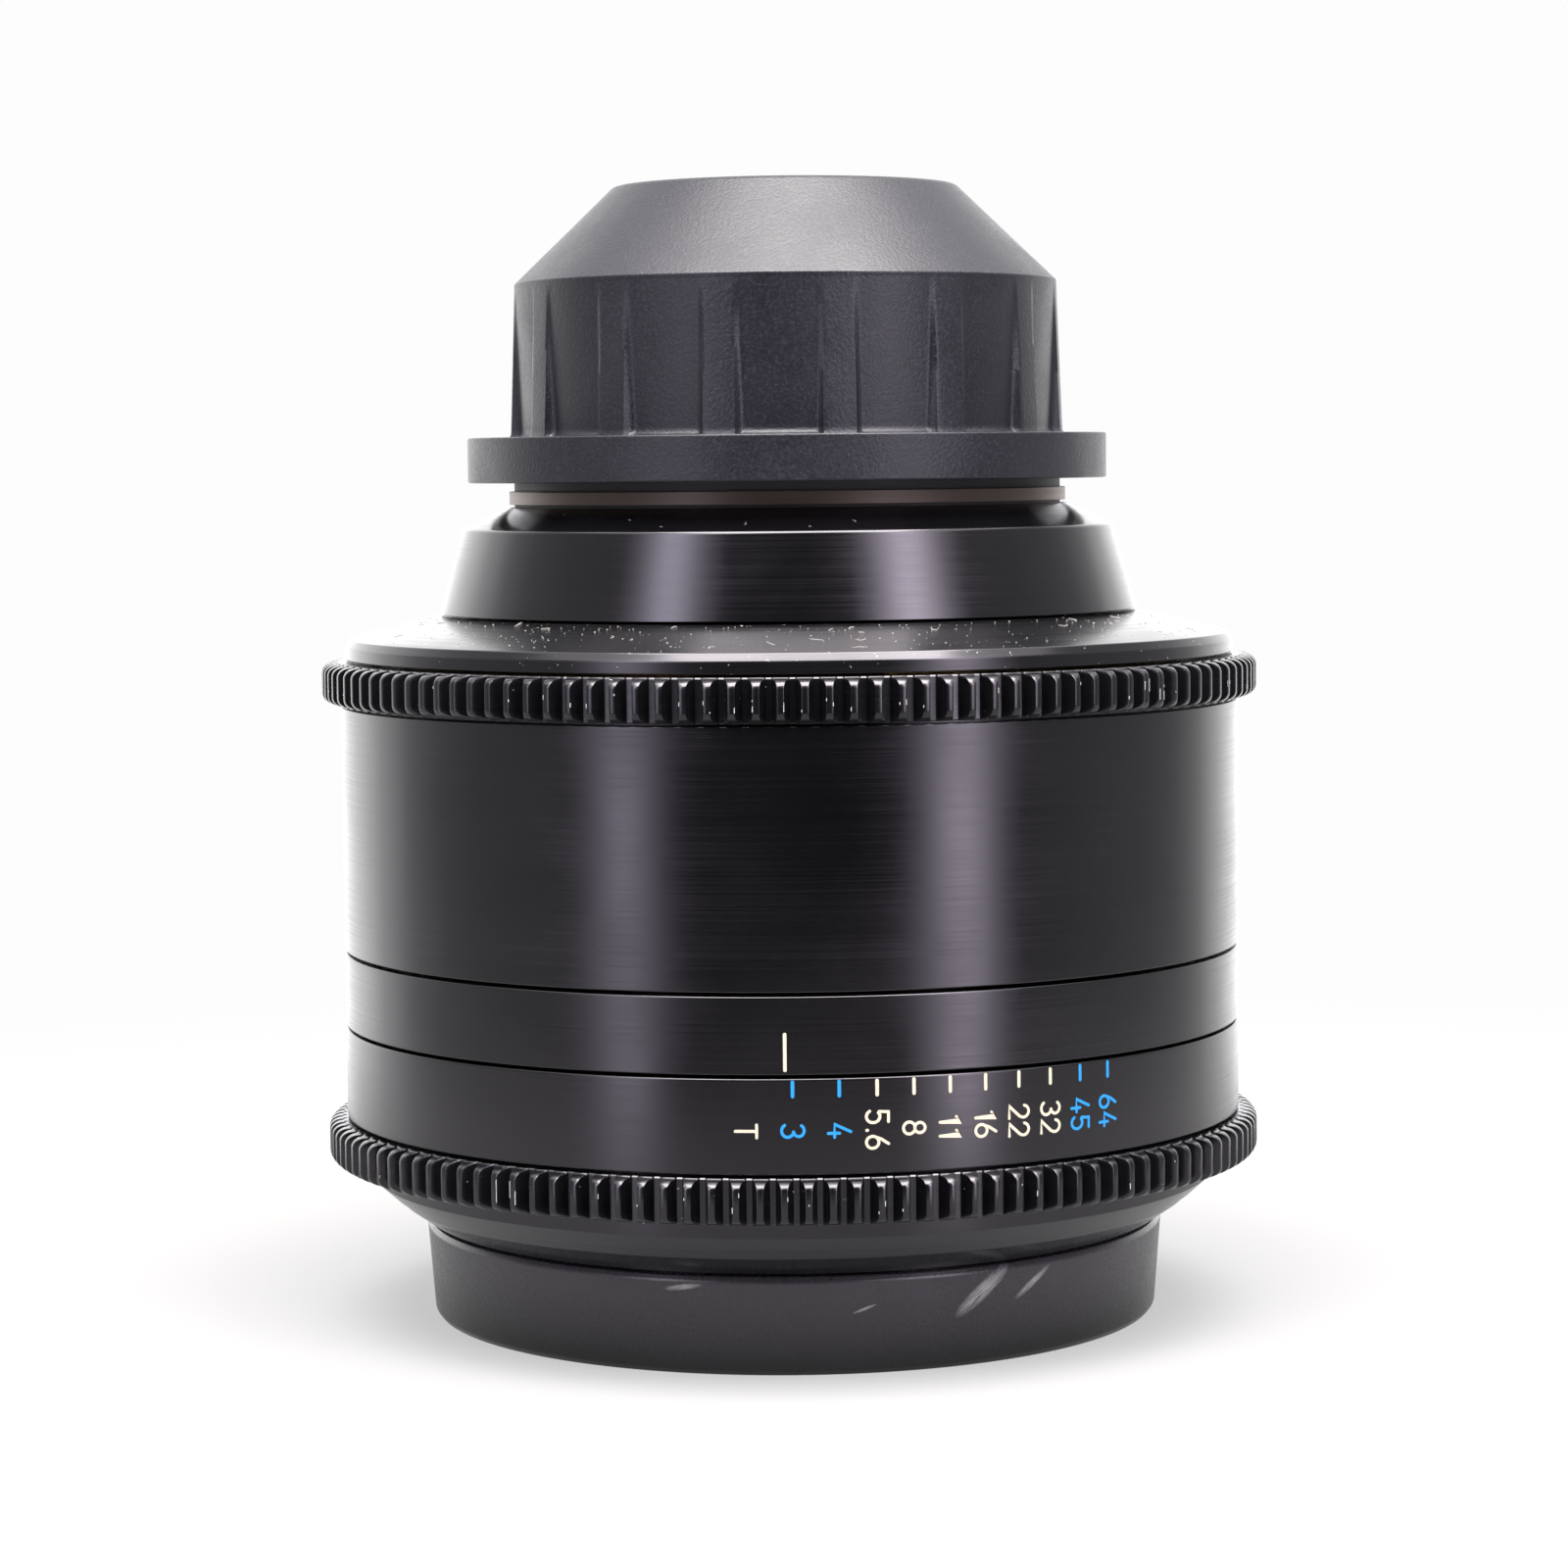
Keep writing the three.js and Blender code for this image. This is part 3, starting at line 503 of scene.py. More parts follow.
def build_bayonet():
    """Flange with four tabs and a keyway, the tube behind it, and matte black rings round the shim
    ring below it that are painted shade for the gap there.
    """
    tab, seat, tube_top = span("bayonet_mount")
    flange_top = seat + 3.0
    foot = seat + 0.85
    shade_ring_r = 31.3
    flange = 31.0
    tube = 27.0
    throat = 25.0
    tab_half = 24.0
    key_half = 1.5

    def rim(angle):
        turned_by = math.degrees(angle) % 90
        off = min(turned_by, 90 - turned_by)
        flank = 0.8
        share = min(1.0, max(0.0, (tab_half + flank - off) / flank))
        share = share * share * (3 - 2 * share)
        radius = flange + (tab - flange) * share
        across = math.cos(angle) * tab
        if math.sin(angle) > 0 and abs(across) < key_half:
            radius = tab - 2.0
        return radius

    def outline(angle):
        edge = rim(angle)
        return rounded(
            [
                (throat, foot, 0.1), (edge, foot, 0.2), (edge, flange_top, 0.3),
                (tube, flange_top, 0.15), (tube, tube_top, 0.8), (throat, tube_top, 0.3),
            ]
        )

    vertices, faces = swept(outline, 720, True)
    make_piece(
        "bayonet_mount_turned", vertices, faces, STEEL, BODY_OF["bayonet_mount"],
        ("bayonet_mount",),
    )
    shim_foot, shim_top = span("mount_shim_ring")[1:]
    shoulder = span("mount_cone")[2]
    shade_ring_bore = throat + 2
    # Painted shade: matte black rings above and below the shim ring stand in for the dark gap behind
    # the flange.
    for name, low, high in (("painted_shade_over_shim", shim_top, foot), ("painted_shade_under_shim", shoulder, shim_foot)):
        corners = ((shade_ring_bore, low), (shade_ring_r, low), (shade_ring_r, high), (shade_ring_bore, high))
        points = [Vector(corner) for corner in corners]
        vertices, faces = swept(lambda angle: points, SIDES, True)
        make_piece(name, vertices, faces, LACQUER, BODY_OF["bayonet_mount"])
    for number in range(1, 5):
        build_screw(f"mount_screw_{number}")


def build_screw(node):
    """Cheese-head screw with a slot."""
    low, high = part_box(node)
    centre = (low + high) / 2 / MM
    top = high.z / MM
    head = 1.4
    slot_half = 0.2
    slot_depth = 0.5
    profile = rounded(
        [
            (0, top - 7.4, 0), (0.85, top - 7.4, 0.2), (0.85, top - 1.5, 0), (head, top - 1.5, 0.1),
            (head, top, 0.2), (0, top, 0),
        ],
        closed=False,
    )
    sides = 48
    vertices, faces = swept(lambda angle: profile, sides, False)
    mesh = bpy.data.meshes.new(node + "_turned")
    mesh.from_pydata(vertices, [], faces)
    work = bmesh.new()
    work.from_mesh(mesh)
    bmesh.ops.remove_doubles(work, verts=work.verts, dist=1e-7)
    for side in (-1, 1):
        geometry = work.verts[:] + work.edges[:] + work.faces[:]
        bmesh.ops.bisect_plane(
            work, geom=geometry, plane_co=(side * slot_half * MM, 0, 0), plane_no=(1, 0, 0)
        )
    for vertex in work.verts:
        inside = abs(vertex.co.x) < (slot_half - 0.01) * MM
        if inside and vertex.co.z > (top - 0.3) * MM:
            vertex.co.z -= slot_depth * MM
    bmesh.ops.translate(work, verts=work.verts, vec=(centre.x * MM, centre.y * MM, 0))
    work.to_mesh(mesh)
    work.free()
    mesh.shade_smooth()
    mesh.set_sharp_from_angle(angle=SHARP_ANGLE)
    mesh.materials.append(STEEL)
    obj = bpy.data.objects.new(node + "_turned", mesh)
    bpy.context.scene.collection.objects.link(obj)
    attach(obj, BODY_OF[node])
    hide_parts(node)


# ---------------------------------------------------------------- focus ring and front body


def build_rings():
    outer, foot, top = span("focus_barrel")
    shelf = 70.2
    turned(
        "focus_barrel",
        [
            (49.2, foot, 0.1), (outer, foot, 0.1), (outer, shelf, 0.12), (49.2, shelf, 0),
            (49.2, top, 0), (47.7, top, 0), (47.7, shelf - 4, 0), (49.2, shelf - 4, 0),
        ],
        BARREL,
    )
    outer, foot, top = span("index_ring")
    seam_cover = 0.22
    foot -= seam_cover
    turned(
        "index_ring",
        [
            (49.4, foot, 0.1), (outer, foot, 0.1), (outer, top, 0.25), (42.9, top, 0.1),
            (42.9, top - 2.5, 0), (49.4, top - 2.5, 0),
        ],
        BARREL,
    )
    outer, foot, top = span("t_scale_ring")
    shelf = span("iris_gear_ring")[2] + 0.3
    turned(
        "t_scale_ring",
        [
            (46.6, foot, 0), (48.6, foot, 0), (48.6, shelf, 0), (outer, shelf, 0.15),
            (outer, top, 0.25), (42.8, top, 0.1), (42.8, top - 4.1, 0), (46.6, top - 4.1, 0),
        ],
        BARREL,
    )
    _, foot, top = span("front_ring")
    turned(
        "front_ring",
        [
            (38.4, foot, 0.3), (40.0, foot, 0.3), (40.0, 11.15, 0), (42.3, 11.15, 0.1),
            (45.4, 13.3, 0.08), (46.35, 14.2, 0), (46.5, 14.2, 0.04), (48.5, 16.0, 0.04),
            (48.6, 16.1, 0), (48.6, top, 0), (38.4, top, 0),
        ],
        NOSE,
    )
    outer, foot, top = span("inner_barrel")
    turned(
        "inner_barrel",
        [
            (24.8, foot, 0), (outer, foot, 0), (outer, top, 0.4), (39.9, top, 0.4),
            (39.9, foot + 3.4, 0), (24.8, foot + 3.4, 0),
        ],
        SATIN,
    )
    top = span("front_retaining_ring")[2]
    steps = 12
    baffle = [(24.6, 14.0, 0)]
    for step in range(steps):
        share = (step + 0.5) / steps
        r = 24.6 + 12.6 * share
        z = 14.0 - 6.0 * share
        baffle += [(r - 0.3, z - 0.25, 0.05), (r + 0.1, z + 0.25, 0.05)]
    baffle += [(37.2, 8.0, 0.1), (38.0, 8.0, 0.1), (38.0, top, 0), (24.6, top, 0)]
    turned("front_retaining_ring", baffle, LACQUER)
    outer, foot, top = span("rear_cell")
    turned(
        "rear_cell",
        [(20.8, foot, 0), (outer, foot, 0), (outer, top, 0.5), (20.8, top, 0.5)],
        LACQUER,
    )
    outer, foot, top = span("rear_retaining_ring")
    turned(
        "rear_retaining_ring",
        [(17.8, foot, 0.2), (outer, foot, 0), (outer, top, 0.2), (18.6, top, 0.2)],
        LACQUER,
    )


def build_glass():
    """Outer lens elements, whose faces bulge by their sag at the middle."""
    for node, foot_sag, top_sag in (("front_element", 3.4, 1.4), ("rear_element", 0.0, 3.6)):
        radius, foot, top = span(node)
        steps = 24
        profile = []
        for i in range(steps + 1):
            share = i / steps
            profile.append(Vector((radius * share, foot + foot_sag * share * share)))
        for i in range(steps, -1, -1):
            share = i / steps
            profile.append(Vector((radius * share, top - top_sag * share * share)))
        vertices, faces = swept(lambda angle: profile, 128, False)
        make_piece(
            node + "_polished", vertices, faces, GLASS, BODY_OF[node], (node,)
        )


# ---------------------------------------------------------------- caps


def build_rear_cap():
    """Fluted cap. Each panel between two ribs sinks from nothing at the top to its full depth."""
    skirt, foot, top = span("rear_cap")
    ribs = 15
    first_rib = 10.6
    rib_half = 1.85
    full_depth = 1.12
    flank = 2.4
    ease = 0.22
    skirt_top = 100.5
    grip_top = 117.9
    grip_r = 31.65
    grip_top_r = 31.0
    sides = ribs * 40
    levels = 44

    def smaller(a, b):
        """Smallest of two depths, eased where they meet."""
        return -ease * math.log(math.exp(-a / ease) + math.exp(-b / ease))

    def sunk(angle, z):
        azimuth = math.degrees(angle) + 90 - first_rib
        pitch = 360 / ribs
        off = abs((azimuth + pitch / 2) % pitch - pitch / 2)
        beyond = math.radians(off) * grip_r - rib_half
        if beyond <= 0:
            return 0.0
        depth = full_depth * (grip_top - 0.2 - z) / (grip_top - skirt_top)
        if depth <= 0:
            return 0.0
        floor = depth
        wall = flank * beyond
        toe = 0.25 + 2.0 * max(0.0, z - skirt_top - 0.1)
        eased = smaller(smaller(floor, wall), toe + 0.6)
        return max(0.0, min(eased, floor, wall))

    under = rounded(
        [
            (0, 126.4, 0), (18.35, 126.4, 0.5), (28.5, 116.6, 0.5), (28.5, foot + 2.6, 0),
            (35.2, foot + 2.6, 0.2), (35.2, foot, 0.15), (skirt, foot, 0.25),
            (skirt, skirt_top, 0.22), (31.9, skirt_top, 0),
        ],
        closed=False,
    )
    over = rounded(
        [
            (grip_top_r + 0.01, grip_top - 0.25, 0), (grip_top_r, grip_top, 0.3),
            (19.55, top, 0.5), (0, top, 0),
        ],
        closed=False,
    )

    def outline(angle):
        grip = []
        for level in range(levels + 1):
            share = level / levels
            z = skirt_top + (grip_top - 0.3 - skirt_top) * share
            r = grip_r + (grip_top_r - grip_r) * share
            foot_fillet = 0.3 * max(0.0, 1 - (z - skirt_top) / 0.5) ** 2
            grip.append(Vector((r - sunk(angle, z) + foot_fillet * 0.6, z)))
        return under + grip + over

    vertices, faces = swept(outline, sides, False)
    faces = [tuple(reversed(face)) for face in faces]
    make_piece(
        "rear_cap_moulded", vertices, faces, CAP, BODY_OF["rear_cap"],
        ("rear_cap",), sharp=math.radians(50),
    )


def build_front_cap():
    _, foot, top = span("front_cap")
    lip = 42.5
    turned(
        "front_cap",
        [
            (0, foot, 0), (41.3, foot, 0.15), (41.75, foot + 0.6, 0.2), (lip, top - 0.6, 0.2),
            (lip - 0.4, top, 0.2), (40.7, top, 0.15), (40.7, 2.4, 0.4), (0, 2.4, 0),
        ],
        FRONT_CAP,
        closed=False,
    )


# ---------------------------------------------------------------- scale


def arc(centre, size, start, end, steps=10):
    """Points of an elliptic arc in glyph space, between two angles in degrees."""
    points = []
    for i in range(steps + 1):
        a = math.radians(start + (end - start) * i / steps)
        points.append((centre[0] + size[0] * math.cos(a), centre[1] + size[1] * math.sin(a)))
    return points


# Strokes of each glyph in a cell of width 0.6 and height 1
GLYPHS = {
    "1": [[(0.12, 0.78), (0.34, 1.0), (0.34, 0.0)]],
    "2": [arc((0.3, 0.73), (0.27, 0.27), 170, -20) + [(0.5, 0.52), (0.03, 0.0), (0.58, 0.0)]],
    "3": [
        arc((0.28, 0.76), (0.26, 0.24), 150, -80),
        arc((0.28, 0.27), (0.29, 0.27), 80, -150),
    ],
    "4": [[(0.36, 1.0), (0.02, 0.28), (0.6, 0.28)], [(0.42, 0.5), (0.42, 0.0)]],
    "5": [
        [(0.54, 1.0), (0.1, 1.0), (0.07, 0.56)]
        + arc((0.29, 0.31), (0.28, 0.31), 130, -150),
    ],
    "6": [
        arc((0.3, 0.28), (0.27, 0.28), 150, -210, 18),
        [(0.06, 0.40), (0.16, 0.66), (0.38, 1.0)],
    ],
    "8": [
        arc((0.3, 0.76), (0.23, 0.24), -90, 270, 18),
        arc((0.3, 0.27), (0.27, 0.27), 90, 450, 18),
    ],
    ".": [[(0.1, 0.02), (0.1, 0.06)]],
    "T": [[(0.0, 1.0), (0.6, 1.0)], [(0.3, 1.0), (0.3, 0.0)]],
}
ADVANCE = {"1": 0.62, ".": 0.34}
DEFAULT_ADVANCE = 0.8


def ribbon(points, width, radius, lift):
    """Raised stroke with round ends along points given as (arc length, height) on a cylinder."""
    half = width / 2
    caps = 6
    path = [Vector(p) for p in points]
    left, right = [], []
    for i, point in enumerate(path):
        forward = (path[min(i + 1, len(path) - 1)] - path[max(i - 1, 0)]).normalized()
        side = Vector((-forward.y, forward.x))
        if 0 < i < len(path) - 1:
            first = (path[i] - path[i - 1]).normalized()
            cosine = max(0.5, abs(first.dot(forward)))
            left.append(point + side * half / cosine)
            right.append(point - side * half / cosine)
        else:
            left.append(point + side * half)
            right.append(point - side * half)
    border = list(left)
    for end, forward in ((path[-1], path[-1] - path[-2]), (path[0], path[0] - path[1])):
        heading = math.atan2(forward.y, forward.x)
        for step in range(1, caps):
            a = heading + math.pi / 2 - math.pi * step / caps
            border.append(end + Vector((math.cos(a), math.sin(a))) * half)
        if end is path[-1]:
            border += list(reversed(right))
    count = len(border)
    vertices = []
    for depth in (radius - 0.05, radius + lift):
        for p in border:
            vertices.append(on_ring(depth, math.degrees(p.x / radius), p.y))
    walls = []
    for i in range(count):
        j = (i + 1) % count
        walls.append((j, i, i + count, j + count))
    tops = []
    strips = len(left) - 1
    first_right = len(left) + caps - 1
    for i in range(strips):
        a = first_right + len(right) - 1 - i
        tops.append(tuple(count + k for k in (i, i + 1, a - 1, a)))
    end_fan = [len(left) - 1 + k for k in range(caps + 1)]
    start_fan = [(first_right + len(right) - 1 + k) % count for k in range(caps + 1)]
    for fan in (end_fan, start_fan):
        tops.append(tuple(count + k for k in fan))
    return vertices, walls + [tuple(reversed(face)) for face in tops]


class Marks:
    """Painted strokes of one colour that ride on one body."""

    def __init__(self, name, material, body, slot):
        self.name = name
        self.material = material
        self.body = body
        self.slot = slot
        self.vertices = []
        self.faces = []
        self.layer = 0

    def stroke(self, points, width, radius):
        lift = 0.02 + 0.002 * (self.layer % 4)
        self.layer += 1
        vertices, faces = ribbon(points, width, radius, lift)
        base = len(self.vertices)
        self.vertices += vertices
        self.faces += [tuple(base + k for k in face) for face in faces]

    def glyphs(self, text, azimuth, z, radius, height, width):
        """Text that reads down the lens, its tops towards growing azimuth, centred on (azimuth, z)."""
        length = sum(ADVANCE.get(c, DEFAULT_ADVANCE) for c in text) - 0.2
        across = math.radians(azimuth) * radius
        pen = -length / 2
        for character in text:
            for points in GLYPHS[character]:
                placed = [
                    (across + (v - 0.5) * height, z - (pen + u) * height) for u, v in points
                ]
                self.stroke(placed, width, radius)
            pen += ADVANCE.get(character, DEFAULT_ADVANCE)

    def finish(self):
        return make_piece(
            self.name, self.vertices, self.faces, self.material, self.body
        )


SCALE = (
    ("3", -0.15, True), ("4", 5.27, True), ("5.6", 9.71, False), ("8", 14.11, False),
    ("11", 18.55, False), ("16", 23.03, False), ("22", 27.44, False), ("32", 31.84, False),
    ("45", 36.28, True), ("64", 40.70, True),
)


def build_scale():
    top = span("t_scale_ring")[2]
    radius = 51.5
    ring = BODY_OF["t_scale_ring"]
    cream = Marks("scale_cream", CREAM, ring, "barrel_black")
    blue = Marks("scale_blue", BLUE, ring, "barrel_black")
    digit_z = 28.0
    digit_height = 2.36
    stroke = 0.31
    mark_length = 1.85
    mark_stroke = 0.37
    for text, azimuth, is_blue in SCALE:
        marks = blue if is_blue else cream
        across = math.radians(azimuth) * radius
        ends = [(across, top - 0.35), (across, top - mark_length)]
        marks.stroke(ends, mark_stroke, radius)
        marks.glyphs(text, azimuth, digit_z, radius, digit_height, stroke)
    cream.glyphs("T", -5.6, digit_z, radius, digit_height * 0.95, stroke)
    cream.finish()
    blue.finish()
    index = Marks("index_line", CREAM, BODY_OF["index_ring"], "barrel_black")
    foot = span("index_ring")[1]
    across = math.radians(-1.0) * radius
    index.stroke([(across, foot + 4.05), (across, foot + 0.3)], mark_stroke, radius)
    index.finish()


# ---------------------------------------------------------------- dust


def fibre(points, thickness):
    """Points and faces of a thin tube along points in metres."""
    sides = 5
    vertices, faces = [], []
    for i, point in enumerate(points):
        forward = (points[min(i + 1, len(points) - 1)] - points[max(i - 1, 0)]).normalized()
        side = forward.cross(Vector((0, 0, 1)))
        if side.length < 1e-3:
            side = Vector((1, 0, 0))
        side.normalize()
        up = side.cross(forward)
        taper = math.sin(math.pi * (0.08 + 0.84 * i / (len(points) - 1))) ** 0.5
        for k in range(sides):
            a = TURN * k / sides
            reach = (side * math.cos(a) + up * math.sin(a)) * thickness / 2 * taper
            vertices.append(point + reach)
    last = (len(points) - 1) * sides
    for i in range(len(points) - 1):
        for k in range(sides):
            j = (k + 1) % sides
            faces.append((i * sides + k, i * sides + j, (i + 1) * sides + j, (i + 1) * sides + k))
    faces.append(tuple(range(sides)))
    faces.append(tuple(last + k for k in reversed(range(sides))))
    return vertices, faces


def build_dust():
    """Lint fibres and specks that lie on the deck, the mount cone and its shoulder."""
    draw = random.Random(7)
    vertices, faces = [], []

    def deck_z(r):
        return 80.3 - (r - 40.1) * (80.3 - 77.8) / (50.35 - 40.1)

    def shoulder_z(r):
        return 92.6 - (r - 32.1) * 2.5 / 5.2

    def lay(surface, r, azimuth, length, thickness, bend):
        heading = draw.uniform(0, TURN)
        x = r * math.sin(math.radians(azimuth))
        y = -r * math.cos(math.radians(azimuth))
        points = []
        steps = 7
        for _ in range(steps):
            reach = math.hypot(x, y)
            points.append(Vector((x, y, surface(reach) + thickness * 0.45)) * MM)
            heading += bend * draw.uniform(0.3, 1.2)
            x += length / steps * math.cos(heading)
            y += length / steps * math.sin(heading)
        base = len(vertices)
        more, their_faces = fibre(points, thickness * MM)
        vertices.extend(more)
        faces.extend(tuple(base + k for k in face) for face in their_faces)

    for _ in range(70):
        r = draw.uniform(41.2, 49.0)
        bend = draw.uniform(-0.8, 0.8)
        lay(deck_z, r, draw.uniform(-180, 180), draw.uniform(0.5, 2.2), 0.05, bend)
    for _ in range(400):
        r = 40.8 + 9.0 * draw.random() ** 1.5
        lay(deck_z, r, draw.uniform(-180, 180), draw.uniform(0.08, 0.24), 0.08, 0.1)
    for _ in range(26):
        r = draw.uniform(33.0, 36.6)
        lay(shoulder_z, r, draw.uniform(-180, 180), draw.uniform(0.1, 0.8), 0.035, 0.4)
    make_piece("deck_dust", vertices, faces, FLUFF, BODY_OF["rear_housing"])


def build_chips_and_glints():
    """Bare metal at worn tooth corners of both follow gears, and partly painted glints along the tooth
    corners.

    Each zone is its first and last azimuth, its number of strokes and the longest half length.
    """
    draw = random.Random(21)
    worn_and_glinting = {
        "focus_gear_ring": (-1.06, ((44, 49, 8, 0.9), (-12, 17, 12, 0.3), (-180, 180, 36, 0.3))),
        "iris_gear_ring": (-1.16, ((-38, -33, 5, 0.9), (-14, 12, 6, 0.3), (-180, 180, 22, 0.3))),
    }
    pitch = 360 / 132
    corner_share = 0.135
    flat = 1.25
    for node, (phase, zones) in worn_and_glinting.items():
        tip, foot, top = span(node)
        chip_and_glint_marks = Marks(node + "_chips", BARE_AND_GLINT, BODY_OF[node], "gear_black")
        for first, last, count, longest in zones:
            for _ in range(count):
                tooth = round((draw.uniform(first, last) - phase) / pitch)
                corner = draw.choice((-1, 1)) * (corner_share * pitch)
                across = math.radians(phase + tooth * pitch + corner) * tip
                middle = draw.uniform(foot + flat, top - flat)
                half = draw.uniform(0.06, longest)
                low = max(foot + flat, middle - half)
                high = min(top - flat, middle + half)
                if high - low > 0.08:
                    # Worn chip and painted glint: a pale stroke along a tooth corner.
                    chip_and_glint_marks.stroke([(across, low), (across, high)], 0.06, tip - 0.03)
        chip_and_glint_marks.finish()


# ---------------------------------------------------------------- hidden nodes


def dress_frame():
    """Materials of the CAD nodes that stay as they are."""
    dressed = {
        "matte_black": (LACQUER, ("front_cell", "iris_housing", "iris_base_plate", "rear_spacer")),
        "brass": (BRASS, ("guide_tube", "cam_tube", "iris_cam_ring")),
        "steel": (STEEL, ("cam_follower_1", "cam_follower_2", "cam_follower_3", "iris_drive_pin")),
        "blade_black": (BLADE, tuple(f"iris_blade_{k}" for k in range(1, 9))),
        "glass": (GLASS, ("element_2", "element_3", "element_4", "element_5")),
    }
    for material, nodes in dressed.values():
        for node in nodes:
            obj = frame["nodes"][node]
            for material_slot in obj.material_slots:
                material_slot.material = material


# ---------------------------------------------------------------- stage, light and camera

BACK_WHITE = 0.98
STAGE_R = 4.0
SWEEP = 2.2
FLOOR_COLOR = (0.296, 0.293, 0.295)


def floor_material(name, own_glow, fade_to_world):
    """Pale paper near the lens. Far away it is plain white, or clear so that the world shows."""
    material = bpy.data.materials.new(name)
    material.use_nodes = True
    tree = material.node_tree
    tree.nodes.clear()
    vector = place(tree, (1.0, 1.0, 1.0))
    length = add(tree, "ShaderNodeVectorMath", {"operation": "LENGTH"})
    tree.links.new(vector, length.inputs[0])
    grain = noise_value(tree, vector, 900.0, 3.0)
    diffuse = add(tree, "ShaderNodeBsdfDiffuse")
    tint = mix_color(tree, grain, tuple(0.985 * c for c in FLOOR_COLOR), FLOOR_COLOR)
    tree.links.new(tint, diffuse.inputs["Color"])
    glow = add(tree, "ShaderNodeEmission", Strength=BACK_WHITE)
    paper = add(tree, "ShaderNodeMixShader", Fac=own_glow)
    tree.links.new(diffuse.outputs[0], paper.inputs[1])
    tree.links.new(glow.outputs[0], paper.inputs[2])
    beyond = add(tree, "ShaderNodeBsdfTransparent") if fade_to_world else glow
    surface = add(tree, "ShaderNodeMixShader")
    far = remap(tree, length.outputs["Value"], 0.13, 0.30, 0.0, 1.0)
    tree.links.new(far, surface.inputs["Fac"])
    tree.links.new(paper.outputs[0], surface.inputs[1])
    tree.links.new(beyond.outputs[0], surface.inputs[2])
    output = add(tree, "ShaderNodeOutputMaterial")
    tree.links.new(surface.outputs[0], output.inputs["Surface"])
    return material


def glow_material(name, strength):
    material = bpy.data.materials.new(name)
    material.use_nodes = True
    tree = material.node_tree
    tree.nodes.clear()
    glow = add(tree, "ShaderNodeEmission", Strength=strength)
    output = add(tree, "ShaderNodeOutputMaterial")
    tree.links.new(glow.outputs[0], output.inputs["Surface"])
    return material


def stage_object(name, build, material, seen_by):
    mesh = bpy.data.meshes.new(name)
    work = bmesh.new()
    build(work)
    work.to_mesh(mesh)
    work.free()
    mesh.materials.append(material)
    obj = bpy.data.objects.new(name, mesh)
    bpy.context.scene.collection.objects.link(obj)
    for ray in ("camera", "diffuse", "glossy", "transmission", "volume_scatter", "shadow"):
        setattr(obj, "visible_" + ray, ray in seen_by)
    return obj


def build_stage():
    def disc(height):
        def build(work):
            bmesh.ops.create_circle(
                work, cap_ends=True, segments=96, radius=STAGE_R,
                matrix=Matrix.Translation((0, 0, height)),
            )
        return build

    def dome(work):
        bmesh.ops.create_uvsphere(work, u_segments=48, v_segments=24, radius=STAGE_R * 1.02)

    stage_object("floor", disc(0.0), floor_material("floor_white", 0.50, False), ("camera", "diffuse"))
    stage_object(
        "floor_in_gloss", disc(-0.0001), floor_material("floor_in_gloss", 0.3, True),
        ("glossy", "transmission"),
    )
    stage_object("backdrop", dome, glow_material("backdrop_white", BACK_WHITE), ("camera",))


def ramp(tree, value, stops):
    node = add(tree, "ShaderNodeValToRGB")
    node.color_ramp.interpolation = "EASE"
    elements = node.color_ramp.elements
    while len(elements) < len(stops):
        elements.new(0.5)
    for element, (position, level) in zip(elements, stops):
        element.position = position
        element.color = (level, level, level, 1.0)
    tree.links.new(value, node.inputs["Fac"])
    return node.outputs["Color"]


def build_world():
    """White sweep behind and beside the lens, dark room in front and above."""
    world = bpy.data.worlds.new("studio")
    bpy.context.scene.world = world
    world.use_nodes = True
    tree = world.node_tree
    tree.nodes.clear()
    coordinates = add(tree, "ShaderNodeTexCoord")
    split = add(tree, "ShaderNodeSeparateXYZ")
    tree.links.new(coordinates.outputs["Generated"], split.inputs[0])
    sideways = combine(tree, "MULTIPLY", split.outputs["X"], -0.12)
    leaning = combine(tree, "ADD", split.outputs["Y"], sideways)
    towards_back = remap(tree, leaning, -1.0, 1.0, 0.0, 1.0)
    upwards = remap(tree, split.outputs["Z"], -1.0, 1.0, 0.0, 1.0)
    depth = ramp(
        tree, towards_back,
        [
            (0.0, 0.018), (0.08, 0.025), (0.16, 0.07), (0.25, 0.14), (0.35, 0.17), (0.5, 0.195),
            (0.62, 0.23), (0.72, 0.35), (0.82, 0.68), (0.91, 0.95), (1.0, 1.0),
        ],
    )
    height = ramp(tree, upwards, [(0.0, 1.0), (0.80, 1.0), (0.90, 0.4), (1.0, 0.2)])
    both = add(tree, "ShaderNodeMix", {"data_type": "RGBA", "blend_type": "MULTIPLY"})
    both.inputs["Factor"].default_value = 1.0
    sockets = [s for s in both.inputs if s.type == "RGBA"]
    tree.links.new(depth, sockets[0])
    tree.links.new(height, sockets[1])
    background = add(tree, "ShaderNodeBackground", Strength=SWEEP)
    result = [s for s in both.outputs if s.type == "RGBA"][0]
    tree.links.new(result, background.inputs["Color"])
    output = add(tree, "ShaderNodeOutputWorld")
    tree.links.new(background.outputs[0], output.inputs["Surface"])


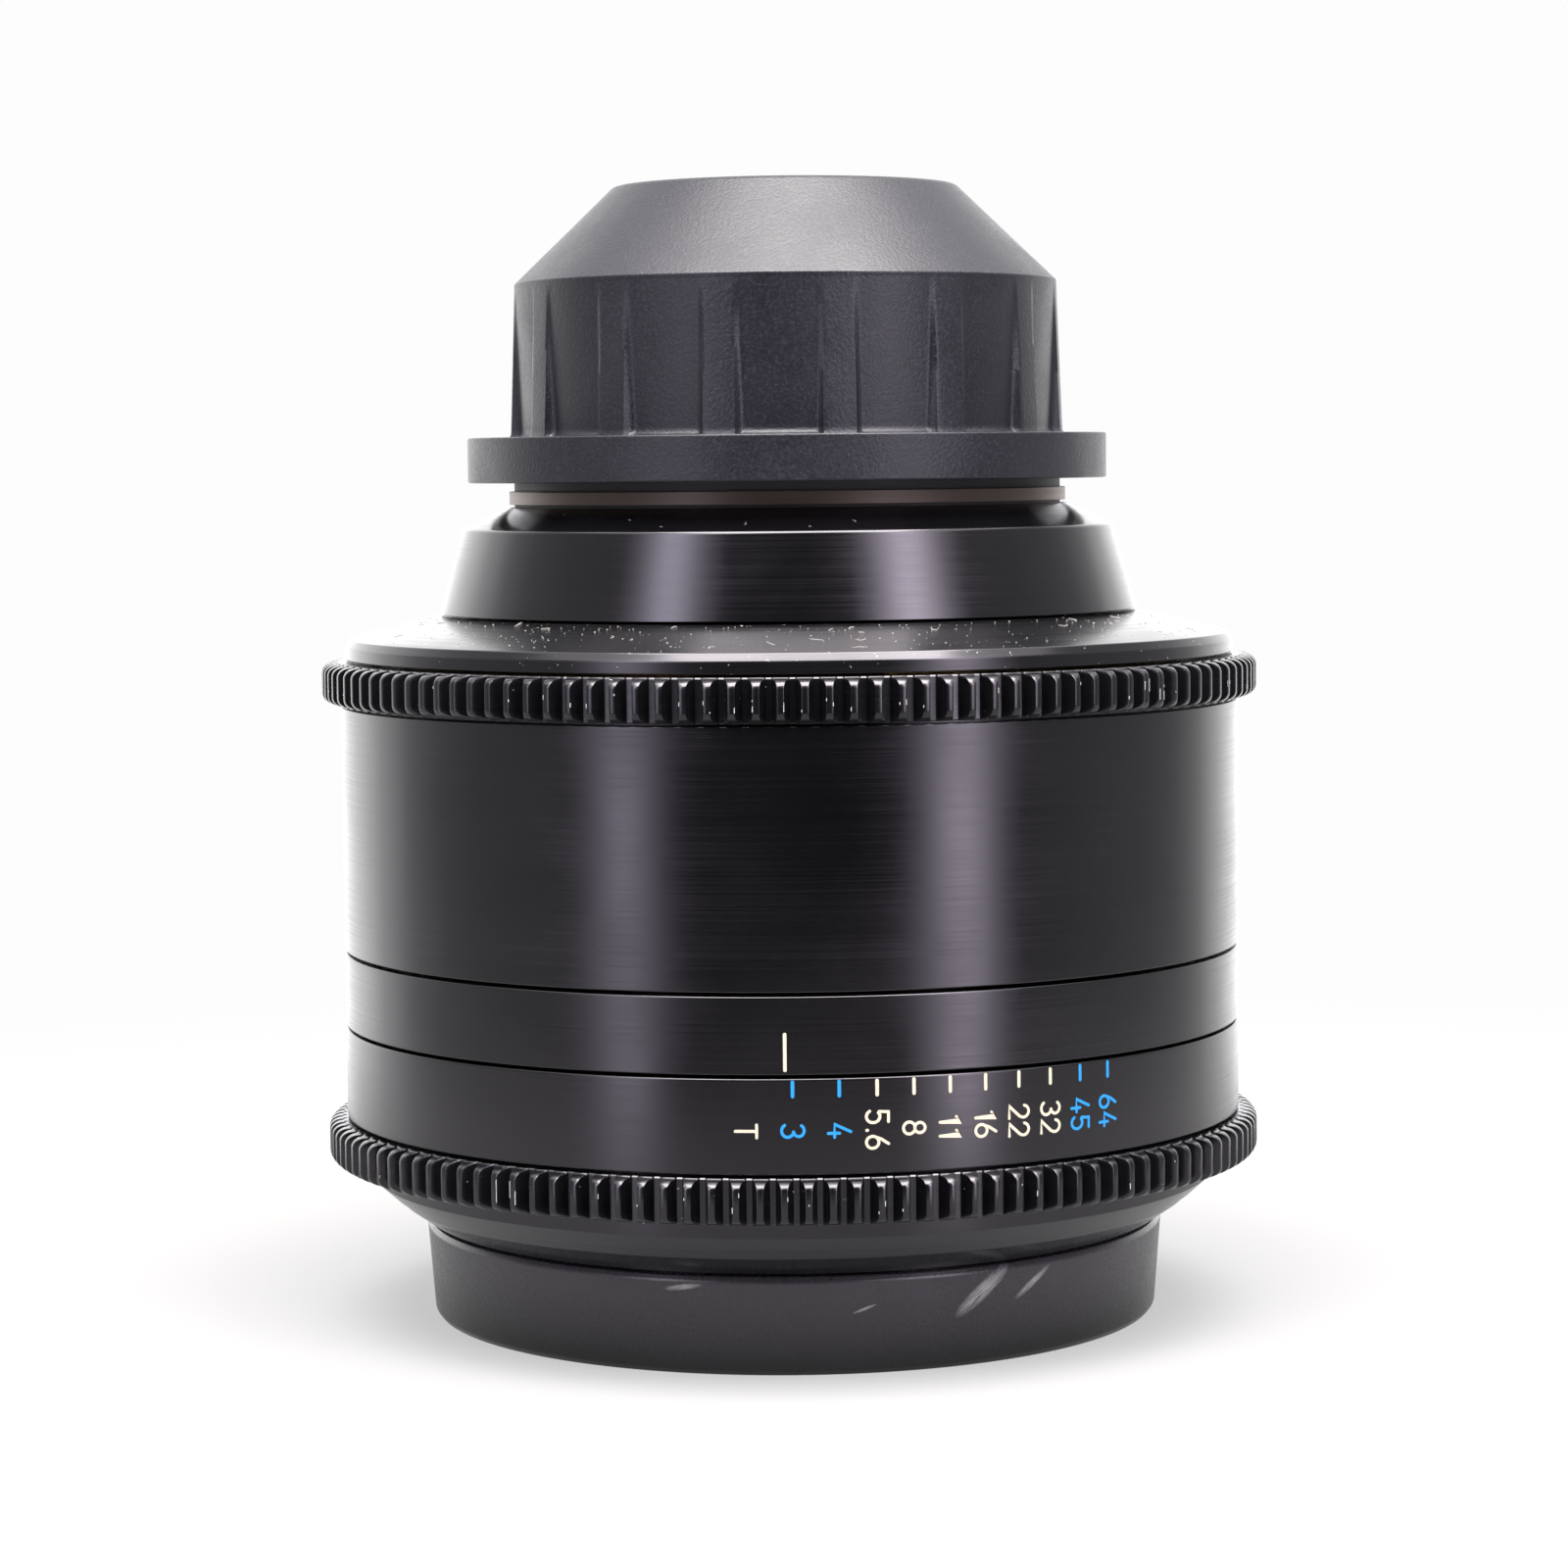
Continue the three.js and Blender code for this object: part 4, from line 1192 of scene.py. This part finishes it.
def soft_box(name, direction, distance, size, radiance, color=(1.0, 1.0, 1.0), target=(0, 0, 0.06)):
    """Rectangular light towards a target. Direction is (azimuth, elevation) in degrees."""
    azimuth, elevation = (math.radians(a) for a in direction)
    outwards = Vector(
        (
            math.sin(azimuth) * math.cos(elevation),
            -math.cos(azimuth) * math.cos(elevation),
            math.sin(elevation),
        )
    )
    light = bpy.data.lights.new(name, "AREA")
    light.shape = "RECTANGLE"
    light.size, light.size_y = size
    light.energy = radiance * math.pi * size[0] * size[1]
    light.color = color
    obj = bpy.data.objects.new(name, light)
    obj.location = Vector(target) + outwards * distance
    obj.rotation_euler = (-outwards).to_track_quat("-Z", "Y").to_euler()
    obj.visible_camera = False
    bpy.context.scene.collection.objects.link(obj)
    return obj


def feathered_box(name, direction, distance, size, radiance, color):
    """Soft box whose glow fades towards its upright edges, made of panels of growing width."""
    for number, (width, share) in enumerate(((0.35, 0.34), (0.7, 0.33), (1.05, 0.2), (1.5, 0.13))):
        panel = (size[0] * width, size[1])
        soft_box(
            f"{name}_{number}", direction, distance + 0.004 * number, panel, radiance * share, color
        )


def build_lights():
    soft_box("overhead", (8, 75), 1.0, (1.0, 0.8), 15.0, (1.0, 0.975, 0.95))
    soft_box("overhead_veil", (8, 82), 1.0, (2.0, 1.5), 2.2, (1.0, 0.975, 0.96))
    feathered_box("left_box", (-40.8, 19), 1.2, (0.42, 1.5), 2.9, (0.90, 0.86, 1.0))
    feathered_box("right_box", (42.0, 19), 1.2, (0.46, 1.5), 4.6, (0.95, 0.89, 1.0))
    feathered_box("left_box_top", (-42.0, 36), 1.25, (0.46, 0.7), 2.7, (0.90, 0.86, 1.0))
    feathered_box("right_box_top", (43.5, 36), 1.25, (0.5, 0.7), 4.2, (0.95, 0.89, 1.0))


def build_camera():
    data = bpy.data.cameras.new("camera")
    data.sensor_width = 36.0
    data.lens = 97.1
    data.clip_start = 0.01
    data.clip_end = 20.0
    camera = bpy.data.objects.new("camera", data)
    pitch = math.radians(90 - 4.37)
    roll = math.radians(-0.57)
    spot = Matrix.Translation((-0.0007, -0.4877, 0.0976))
    camera.matrix_world = spot @ Matrix.Rotation(pitch, 4, "X") @ Matrix.Rotation(roll, 4, "Z")
    bpy.context.scene.collection.objects.link(camera)
    bpy.context.scene.camera = camera


bpy.context.scene.view_settings.view_transform = "Standard"
build_camera()
build_stage()
build_world()
build_lights()
build_housing()
build_bayonet()
build_rings()
gear("focus_gear_ring", 49.6, -1.06)
gear("iris_gear_ring", 49.0, -1.16)
build_glass()
build_rear_cap()
build_front_cap()
build_scale()
build_dust()
build_chips_and_glints()
dress_frame()
